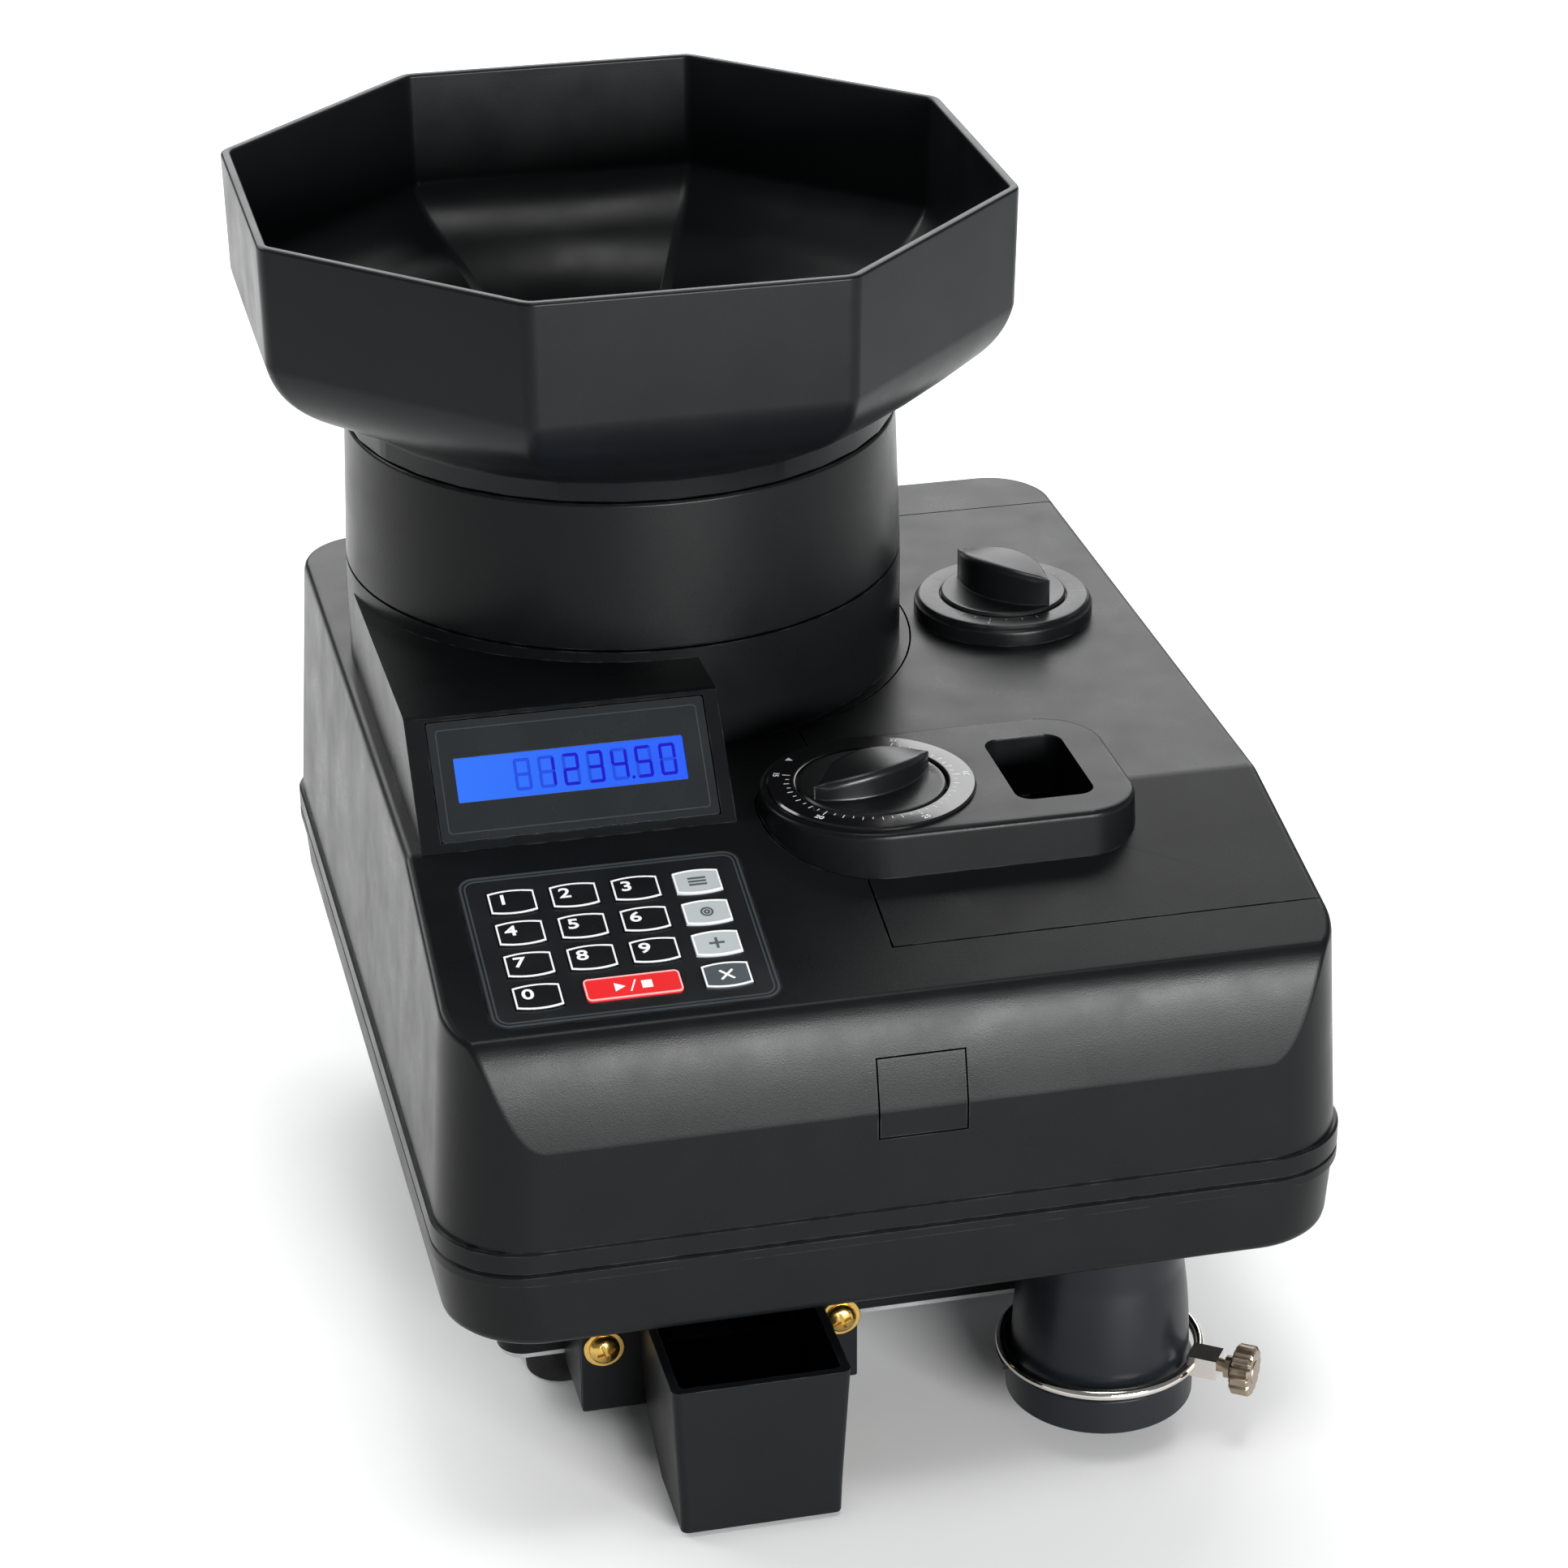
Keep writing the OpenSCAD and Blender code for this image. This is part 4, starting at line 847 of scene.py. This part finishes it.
def make_display():
    view = round_box(LCD_X0, LCD_S0, LCD_X1, LCD_S1, 0.4)
    panel = ring_of(window_outline(0.1, 0.8), view, PANEL_Z, -0.35)
    piece("window_panel", placed(panel, ON_BEZEL), "panel", "base", ["display_window"],
          bevel=0.2)
    line = ring_of(window_outline(2.4, 1.2), window_outline(2.75, 1.0), -0.36, -0.29)
    piece("window_line", placed(line, ON_BEZEL), "dark_ink", "base")
    glass = block(LCD_X0 - 0.5, LCD_S0 - 0.5, -2.5, LCD_X1 + 0.5, LCD_S1 + 0.5, GLASS_Z)
    piece("display_glass", placed(glass, ON_BEZEL), "lcd", "base")
    shown = "8123450"
    lit = digits(shown, lambda c, name: name in SEGMENTS[c])[:-7]
    size = 0.9
    point_x = DIGIT_X - DIGIT_STEP - (DIGIT_STEP - DIGIT_W + size) / 2
    point = round_box(point_x, DIGIT_S, point_x + size, DIGIT_S + size, 0.2)
    lit.append(prism(point, 0, SEGMENT_THICK))
    ghost = digits(shown, lambda c, name: name not in SEGMENTS[c] or c == "8")
    for name, meshes, material in (("display_digits", lit, "segment"), ("display_ghosts", ghost, "ghost")):
        piece(name, placed(moved(stack(meshes), 0, 0, GLASS_Z), ON_BEZEL), material, "base", clean=False)


# ---------- keypad ----------

def barrel(w, h, grow=0.0, bow=0.85, steps=8):
    """Key outline with straight sides and bowed top and bottom edges, from its top left corner."""
    x0, x1, top, low = -grow, w + grow, -bow + grow, -h + bow - grow
    points = []
    for edge, way in ((top, 1), (low, -1)):
        row = []
        for i in range(steps + 1):
            t = i / steps
            row.append((x0 + (x1 - x0) * t, edge + way * bow * 4 * t * (1 - t)))
        points += row if way == 1 else row[::-1]
    return points


def key_places():
    """(name, x, y) of each ordinary key's top left corner on the sloped face."""
    names = [["key_1", "key_2", "key_3", "key_memory"], ["key_4", "key_5", "key_6", "key_batch"],
             ["key_7", "key_8", "key_9", "key_add"], ["key_0", None, None, "key_clear"]]
    return [(name, KEY_X0 + column * KEY_DX, -KEY_S0 - row * KEY_DY) for row, line in enumerate(names)
            for column, name in enumerate(line) if name]


def start_outline(inset, corner):
    """Outline of the wide start key, drawn in by inset."""
    return round_box(inset, -KEY_H + 0.6 + inset, START_W - inset, -0.6 - inset, corner)


def key_body(outline, low=-1.4):
    """Cap with a slightly domed edge and its plunger."""
    cx = sum(x for x, y in outline) / len(outline)
    cy = sum(y for x, y in outline) / len(outline)
    shrink = lambda k, z: [(cx + (x - cx) * k, cy + (y - cy) * k, z) for x, y in outline]
    cap = loft([shrink(1, low), shrink(1, 0.45), shrink(0.985, 0.68), shrink(0.955, 0.8)])
    return stack([cap, disc(cx, cy, 1.5, -3.2, low, 24)])


def pictogram(name):
    """Marks that stand for the words on the function keys."""
    if name == "key_memory":
        return [bar(-2.6, y, 2.6, y + 0.75) for y in (-1.75, -0.4, 0.95)]
    if name == "key_batch":
        circle = lambda r: round_box(-r, -r, r, r, r - 0.01)
        return [ring_of(circle(r), circle(r - 0.6), 0, INK) for r in (1.9, 0.95)]
    if name == "key_add":
        return [bar(-2.2, -0.4, 2.2, 0.4), bar(-0.4, -2.2, 0.4, 2.2, 0.002)]
    if name == "key_clear":
        return [turn(bar(-2.6, -0.35, 2.6, 0.35, i * 0.002), 45 + 90 * i) for i in (0, 1)]
    triangle = prism([(-5.2, -1.7), (-2.2, 0), (-5.2, 1.7)], 0, INK)
    return [triangle, turn(bar(-2.4, -0.22, 2.4, 0.22), 68), bar(2.4, -1.5, 5.4, 1.5)]


def make_key(name, x, y):
    printed, wide = name[-1].isdigit(), name == "key_start"
    if wide:
        cap, outer, inner = [start_outline(g, r) for g, r in ((0, 1.6), (0.12, 1.5), (0.6, 1.0))]
    else:
        cap, outer, inner = [barrel(KEY_W, KEY_H, -g) for g in (0, 0.12, 0.62)]
    colours = {"key_start": "key_red", "key_clear": "key_slate"}
    material = "key_black" if printed else colours.get(name, "key_grey")
    place = ON_SLOPE @ Matrix.Translation((x, y, 0))
    piece(name + "_cap", placed(key_body(cap), place), material, name, [name], clean=False,
          angle=50)
    frame_line = moved(ring_of(outer, inner, 0, 0.22), 0, 0, 0.66)
    piece(name + "_outline", placed(frame_line, place), "pink_ink" if wide else "white", name, clean=False)
    if printed:
        marks = moved(lettering(name[-1], 5.6, 1.28, 0.10), 4.1, -4.1, 0.8)
    else:
        marks = moved(stack(pictogram(name)), (START_W if wide else KEY_W) / 2, -KEY_H / 2, 0.8)
    ink_name = "white" if printed or wide or name == "key_clear" else "grey_ink"
    piece(name + "_legend", placed(marks, place), ink_name, name, clean=False)


def make_keypad():
    x0, x1 = PAD_X - PAD_W / 2 + 0.1, PAD_X + PAD_W / 2 - 0.1
    rounded = lambda g: round_box(x0 + g, -PAD_S1 + 0.1 + g, x1 - g, -PAD_S0 - 0.1 - g, 4.9 - g * 0.8)
    film = prism(rounded(0), -0.8, 0.25)
    places, gap = key_places(), 0.25
    for name, x, y in places:
        film = cut(film, prism([(px + x, py + y) for px, py in barrel(KEY_W, KEY_H, gap)], -2, 2))
    start_x, start_y = KEY_X0 + KEY_DX + 2, -KEY_S0 - 3 * KEY_DY
    film = cut(film, moved(prism(start_outline(-gap, 1.8), -2, 2), start_x, start_y, 0))
    piece("keypad_film", placed(film, ON_SLOPE), "film", "base", ["keypad_overlay"],
          bevel=0.15)
    rims = stack([ring_of(rounded(0.5), rounded(1.15), 0.2, 0.42),
                  ring_of(rounded(1.75), rounded(2.3), 0.2, 0.4)])
    piece("keypad_rim", placed(rims, ON_SLOPE), "rim", "base", clean=False)
    for name, x, y in places:
        make_key(name, x, y)
    make_key("key_start", start_x, start_y)


# ---------- dials ----------

def leaf_grip(length, width, height, steps=40):
    """Leaf-shaped grip along X with an arched back and rounded top edges."""
    r = (length * length / 4 + width * width / 4) / width
    arch = 62.0
    rings = []
    for i in range(steps + 1):
        x = -length / 2 + length * (0.5 - 0.5 * cos(pi * i / steps))
        half = max(sqrt(max(r * r - x * x, 0)) - (r - width / 2), 0.25)
        top = height - (arch - sqrt(arch * arch - x * x))
        f = min(2.2, half * 0.8, top * 0.5)
        side = [(half + 0.5, 0), (half, 0.8)] + arc(half - f, top - f, f, 0, 90, 6)
        rings.append([(x, y, z) for y, z in side] + [(x, -y, z) for y, z in reversed(side)])
    return loft(rings)


def knob_parts(r, z, grip, angle, shaft):
    """Dished disc with a chamfered edge, its grip, and the shaft below."""
    length, width, height = grip
    plate = [(r, z), (r, z + 1.1), (r - 0.5, z + 1.6), (r - 1.6, z + 1.75), (r - 3, z + 1.4),
             (r * 0.5, z + 1.25), (1, z + 1.25)]
    handle = moved(turn(leaf_grip(length, width, height), angle), 0, 0, z + 1)
    return join(turned(plate, 128), handle, *shaft)


def make_diameter_dial():
    z = PLATFORM_Z
    teeth = [turn(block(0, -0.42, 154.2, 4.7, 0.42, 160.2), 30 * i) for i in range(12)]
    shaft = [turned([(4, 158), (4, z)], 48), turned([(6.5, 164), (6.5, 166)], 48),
             turned([(3.3, 154.2), (3.3, 160.2)], 48)]
    knob = knob_parts(21.8, z - 0.6, (41, 17, 8), 22, shaft + teeth)
    piece("diameter_knob_shell", moved(knob, DIAL_X, DIAL_Y, 0), "knob", "diameter_dial",
          ["diameter_knob"], bevel=0.25)
    ring = turned([(22.3, z - 0.4), (DIAL_R, z - 0.4), (DIAL_R, z + 0.6), (DIAL_R - 0.5, z + 1.1),
                   (23.2, z + 1.2), (22.3, z + 0.8)], 160, True)
    piece("diameter_ring", moved(ring, DIAL_X, DIAL_Y, 0), "gloss", "lid", ["diameter_scale"],
          clean=False)
    marks = []
    first, per_mm = 158.0, 13.2
    for i in range(41):
        mm = 15 + i / 2
        angle = first + (mm - 15) * per_mm
        length = 2.4 if i % 10 == 0 else 1.7 if i % 2 == 0 else 1.1
        marks.append(turn(bar(23.9, -0.11, 23.9 + length, 0.11), angle))
        if i % 10 == 0:
            number = turn(lettering(str(int(mm)), 2.5, 1.1, 0.03), 90)
            marks.append(turn(moved(number, 28.1, 0, 0), angle))
    arrow = prism([(28.6, -1), (26.6, 0), (28.6, 1)], 0, INK)
    marks.append(turn(arrow, first - 22))
    piece("diameter_marks", moved(stack(marks), DIAL_X, DIAL_Y, z + 1.16), "white", "lid", clean=False)


def make_thickness_dial():
    z = TOP_Z + 5.5
    shaft = [turned([(4, 153.2), (4, z + 0.5)], 48), turned([(6, 153.2), (6, 155.2)], 48),
             turned([(6, 166.5), (6, 169)], 48)]
    knob = knob_parts(19.9, z + 0.3, (38, 16, 12), -56, shaft)
    piece("thickness_knob_shell", moved(knob, THICK_X, THICK_Y, 0), "knob", "thickness_dial",
          ["thickness_knob"], bevel=0.25)
    ring = turned([(20.3, z), (26.9, z), (26.9, z + 0.6), (26.4, z + 1), (20.8, z + 1), (20.3, z + 0.6)],
                  128, True)
    piece("thickness_ring", moved(ring, THICK_X, THICK_Y, 0), "knob", "lid", ["thickness_scale"],
          clean=False)
    marks = []
    first, step = 140, 13
    for i in range(25):
        length = 2.2 if i % 4 == 0 else 1.2
        angle = first + i * step
        marks.append(turn(bar(21.6, -0.12, 21.6 + length, 0.12), angle))
        if i % 8 == 0:
            number = turn(lettering(str(1 + i // 8), 2.0, 1.1, 0.03), 90)
            marks.append(turn(moved(number, 25.3, 0, 0), angle))
    piece("thickness_marks", moved(stack(marks), THICK_X, THICK_Y, z + 0.98), "grey_mark", "lid",
          clean=False)


# ---------- reject box, spout and screws ----------

def tapered_box(levels, steps=6):
    """Loft through rounded rectangles given as (x0, y0, x1, y1, radius, z)."""
    return loft([[(x, y, z) for x, y in round_box(*box, steps)] for *box, z in levels])


def make_reject_box():
    x, y = BOX_X, BLOCK_Y
    outer = tapered_box([(x - 23.6, -171.6, x + 23.6, -141, 2.2, 1.5),
                         (x - 24, -172, x + 24, y - 5, 2.6, 12),
                         (x - 26, -173.5, x + 26, y - 0.1, 2.6, BOX_RIM_Z)])
    inner = tapered_box([(x - 21.3, -169.2, x + 21.3, -143, 2.0, 4),
                         (x - 21.6, -169.6, x + 21.6, y - 6, 2.0, 15),
                         (x - 23.4, -171, x + 23.4, y - 2.3, 1.8, BOX_RIM_Z + 1)])
    ears = tapered_box([(BLOCK_X0, y - 2.2, BLOCK_X1, y - 0.1, 1.0, 12),
                        (BLOCK_X0, y - 2.2, BLOCK_X1, y - 0.1, 1.0, 54)])
    box = cut(join(outer, ears), inner, block(x - 20, y - 4, 24, x + 20, y + 4, 64))
    for sx in SCREW_XS:
        box = cut(box, axle(2.2, 4, sx, y - 1, SCREW_Z, 32))
    piece("reject_box_shell", box, "chute", "base", ["reject_box"], bevel=0.5)


def make_screws():
    """Domed cross-head screws over plain washers."""
    meshes = []
    for x in SCREW_XS:
        head = turned([(1.9, -8), (1.9, 1.0), (4.5, 1.0), (4.55, 1.5), (4.2, 2.3), (3.4, 3.0), (2.2, 3.45),
                       (1.0, 3.62), (0.2, 3.66)], 64)
        slots = [turn(block(-2.7, -0.5, 2.2, 2.7, 0.5, 5), 20 + 90 * i) for i in (0, 1)]
        washer = turned([(2.2, 0), (6, 0), (6, 0.85), (5.8, 1.0), (2.2, 1.0)], 64, True)
        for mesh in (cut(head, *slots), washer):
            meshes.append(moved(turn(mesh, 90, "X"), x, BLOCK_Y - 2.2, SCREW_Z))
    piece("box_screws", stack(meshes), "brass", "base", ["reject_box_screws"], bevel=0.12)


def make_spout():
    top_z = BASE_Z + WALL
    outside = [(27.2, 9), (27.7, 9.5), (27.7, 20.0), (27.3, 20.5)]
    outside += bezier((26.4, 21.4), (26.3, 40), (23.6, 56), 10)
    outside += [(23.5, top_z), (25.2, top_z), (25.2, BASE_Z + 7), (15, BASE_Z + 7), (15, BASE_Z + 5),
                (21.3, BASE_Z + 5)]
    outside += bezier((21.3, 56), (24, 40), (24.2, 24), 8) + [(25.4, 9.5), (25.9, 9)]
    body = moved(turned(outside, 160, True), OUTLET_X, OUTLET_Y, 0)
    tube = disc(OUTLET_X, DROP_Y, DROP_R + 1.6, BASE_Z + 6, 145.8)
    shelf = arc(0, 0, 31, 80, 107, 24) + arc(0, 0, 25, 187, -107, 24)
    ledge = moved(prism(shelf, 20.4, 22.4), OUTLET_X, OUTLET_Y, 0)
    spout = cut(join(body, tube, ledge), disc(OUTLET_X, DROP_Y, DROP_R, BASE_Z + 3, BASE_Z + 88))
    piece("spout_shell", spout, "spout", "base", ["coin_spout"], bevel=0.35)


def make_bag_ring():
    wire = arc(29.4, 0, 1.6, 0, 360, 24)[:-1]
    lug = turn(cut(block(28, -4, -3.2, 37, 4, 3.2), turn(turned([(2.06, 20), (2.06, 40)], 32), 90, "Y")),
               CLAMP_TURN)
    ring = join(turned(wire, 160, True), lug)
    piece("bag_ring_wire", moved(ring, OUTLET_X, OUTLET_Y, 24), "chrome", "base", ["bag_ring"],
          bevel=0.5, angle=50)


def make_thumb_screw():
    flutes, steps, depth = 14, 168, 0.75

    def fluted(r, z):
        ring = []
        for a in [2 * pi * i / steps for i in range(steps)]:
            size = r - depth * max(0.0, cos(flutes * a)) ** 1.5
            ring.append((size * cos(a), size * sin(a), z))
        return ring

    head = loft([fluted(6.6, 41.6), fluted(7.5, 42.3), fluted(7.5, 46.9), fluted(6.7, 47.6)])
    neck = turned([(3.4, 39), (3.4, 40.6), (2.7, 41), (2.7, 41.8)], 48)
    shank = turned([(1.6, 31.5), (2, 31.9), (2, 39.4)], 48)
    boss = turned([(3.6, 47.5), (3.3, 47.9), (0.5, 47.9)], 48)
    screw = turn(turn(stack([head, neck, shank, boss]), 90, "Y"), CLAMP_TURN)
    piece("thumb_screw_metal", moved(screw, OUTLET_X, OUTLET_Y, 24), "bronze", "clamp_screw",
          ["thumb_screw"], clean=False)


def make_feet():
    profile = [(2.6, 3), (2.6, 0.0), (9.9, 0.0), (10.5, 0.5), (11.4, 9), (12, 12.6), (12, 13.9), (2, 13.9)]
    feet = [moved(turned(profile, 64), x, y, 0) for x in FEET_X for y in FEET_Y]
    piece("feet", stack(feet), "foot", "base", ["rubber_feet"], clean=False)


# ---------- CAD shapes with their edges rounded ----------

def cad_shape(node):
    """The CAD node's own shape as a bmesh."""
    shape = bmesh.new()
    shape.from_mesh(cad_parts[node].data)
    bmesh.ops.remove_doubles(shape, verts=shape.verts, dist=1e-6)
    bmesh.ops.scale(shape, vec=(1 / MM, 1 / MM, 1 / MM), verts=shape.verts)
    return shape


def make_plinth():
    piece("plinth_finished", draft_of(cad_shape("plinth")), "base", "base", ["plinth"],
          bevel=0.6)


def make_mains_inlet(back_y):
    """Black inlet frame with its three pins, apart from the painted supply it shares a node with."""
    frame_depth, pin_from, pin_to = 17, 14, 2
    pin_x, pin_z = (68, 85), (35, 47)
    # Known fault: the rear edge of the supply's own plate lies in the inlet's range of y, so supply_case
    # loses the back of its plate, and the inlet's mesh gets that plate's end face as a stray face.
    shape = cad_shape("power_supply")
    for name, keep_inlet in (("supply_case", False), ("mains_inlet_frame", True)):
        part = shape.copy()
        extra = [v for v in part.verts if (v.co.y > back_y - frame_depth) != keep_inlet]
        bmesh.ops.delete(part, geom=extra, context="VERTS")
        mesh = draft_of(part)
        if keep_inlet:
            obj = piece(name, mesh, "knob", "base", bevel=0.4)
            obj.data.materials.append(M["steel"])
            for face in obj.data.polygons:
                x, y, z = face.center / MM
                inside = pin_x[0] < x < pin_x[1] and pin_z[0] < z < pin_z[1]
                if inside and back_y - pin_from < y < back_y - pin_to:
                    face.material_index = 1
        else:
            piece(name, mesh, "motor", "base", ["power_supply"], bevel=0.4)
    shape.free()


make_housing()
make_base()
make_drum_ring()
make_hopper()
make_lid()
make_latch()
make_display()
make_keypad()
make_diameter_dial()
make_thickness_dial()
make_reject_box()
make_screws()
make_spout()
make_bag_ring()
make_thumb_screw()
make_feet()
make_plinth()
make_mains_inlet(PLINTH_Y1)


# ---------- floor, light and camera ----------

def make_floor():
    n = Nodes("pale_floor")
    n.set(Base_Color=n.mix(n.noise(3, 4), (0.86, 0.86, 0.86), (0.89, 0.89, 0.89)))
    n.set(Roughness=n.spread(n.noise(30, 3), 0.6, 0.7))
    mesh = bpy.data.meshes.new("floor")
    half = 14.0
    mesh.from_pydata([(-half, -half, 0), (half, -half, 0), (half, half, 0), (-half, half, 0)], [],
                     [(0, 1, 2, 3)])
    mesh.materials.append(n.material)
    floor = bpy.data.objects.new("floor", mesh)
    bpy.context.scene.collection.objects.link(floor)


def area_light(name, place, aim, size, power):
    light = bpy.data.lights.new(name, "AREA")
    light.shape = "RECTANGLE"
    light.size, light.size_y = size
    light.energy = power
    lamp = bpy.data.objects.new(name, light)
    lamp.location = place
    lamp.rotation_euler = (Vector(aim) - Vector(place)).to_track_quat("-Z", "Y").to_euler()
    bpy.context.scene.collection.objects.link(lamp)


def make_light():
    world = bpy.data.worlds.new("studio")
    world.use_nodes = True
    background = world.node_tree.nodes["Background"]
    background.inputs["Color"].default_value = (0.95, 0.97, 1.0, 1)
    background.inputs["Strength"].default_value = 0.22
    bpy.context.scene.world = world
    area_light("front_box", (0.60, -2.3, 0.54), (0.02, -0.16, 0.15), (1.3, 0.34), 92)
    area_light("top_fill", (0.1, -0.25, 2.2), (0, -0.05, 0.1), (0.7, 0.7), 14)
    area_light("back_box", (0.42, 1.7, 1.45), (0, 0, 0.15), (2.4, 1.9), 54)
    area_light("left_floor", (-1.5, 1.3, 1.4), (-0.7, 0.5, 0), (1.2, 1.0), 30)
    bpy.context.scene.view_settings.view_transform = "Standard"


def make_camera():
    camera = bpy.data.objects.new("camera", bpy.data.cameras.new("camera"))
    camera.data.lens = 98.34
    camera.data.sensor_width = 36
    place = Matrix.Translation((-0.256914, -1.158721, 0.730896))
    for degrees, axis in ((-12.984, "Z"), (63.985, "X"), (-0.383, "Z")):
        place = place @ Matrix.Rotation(radians(degrees), 4, axis)
    camera.matrix_world = place
    bpy.context.scene.collection.objects.link(camera)
    bpy.context.scene.camera = camera


make_floor()
make_light()
make_camera()
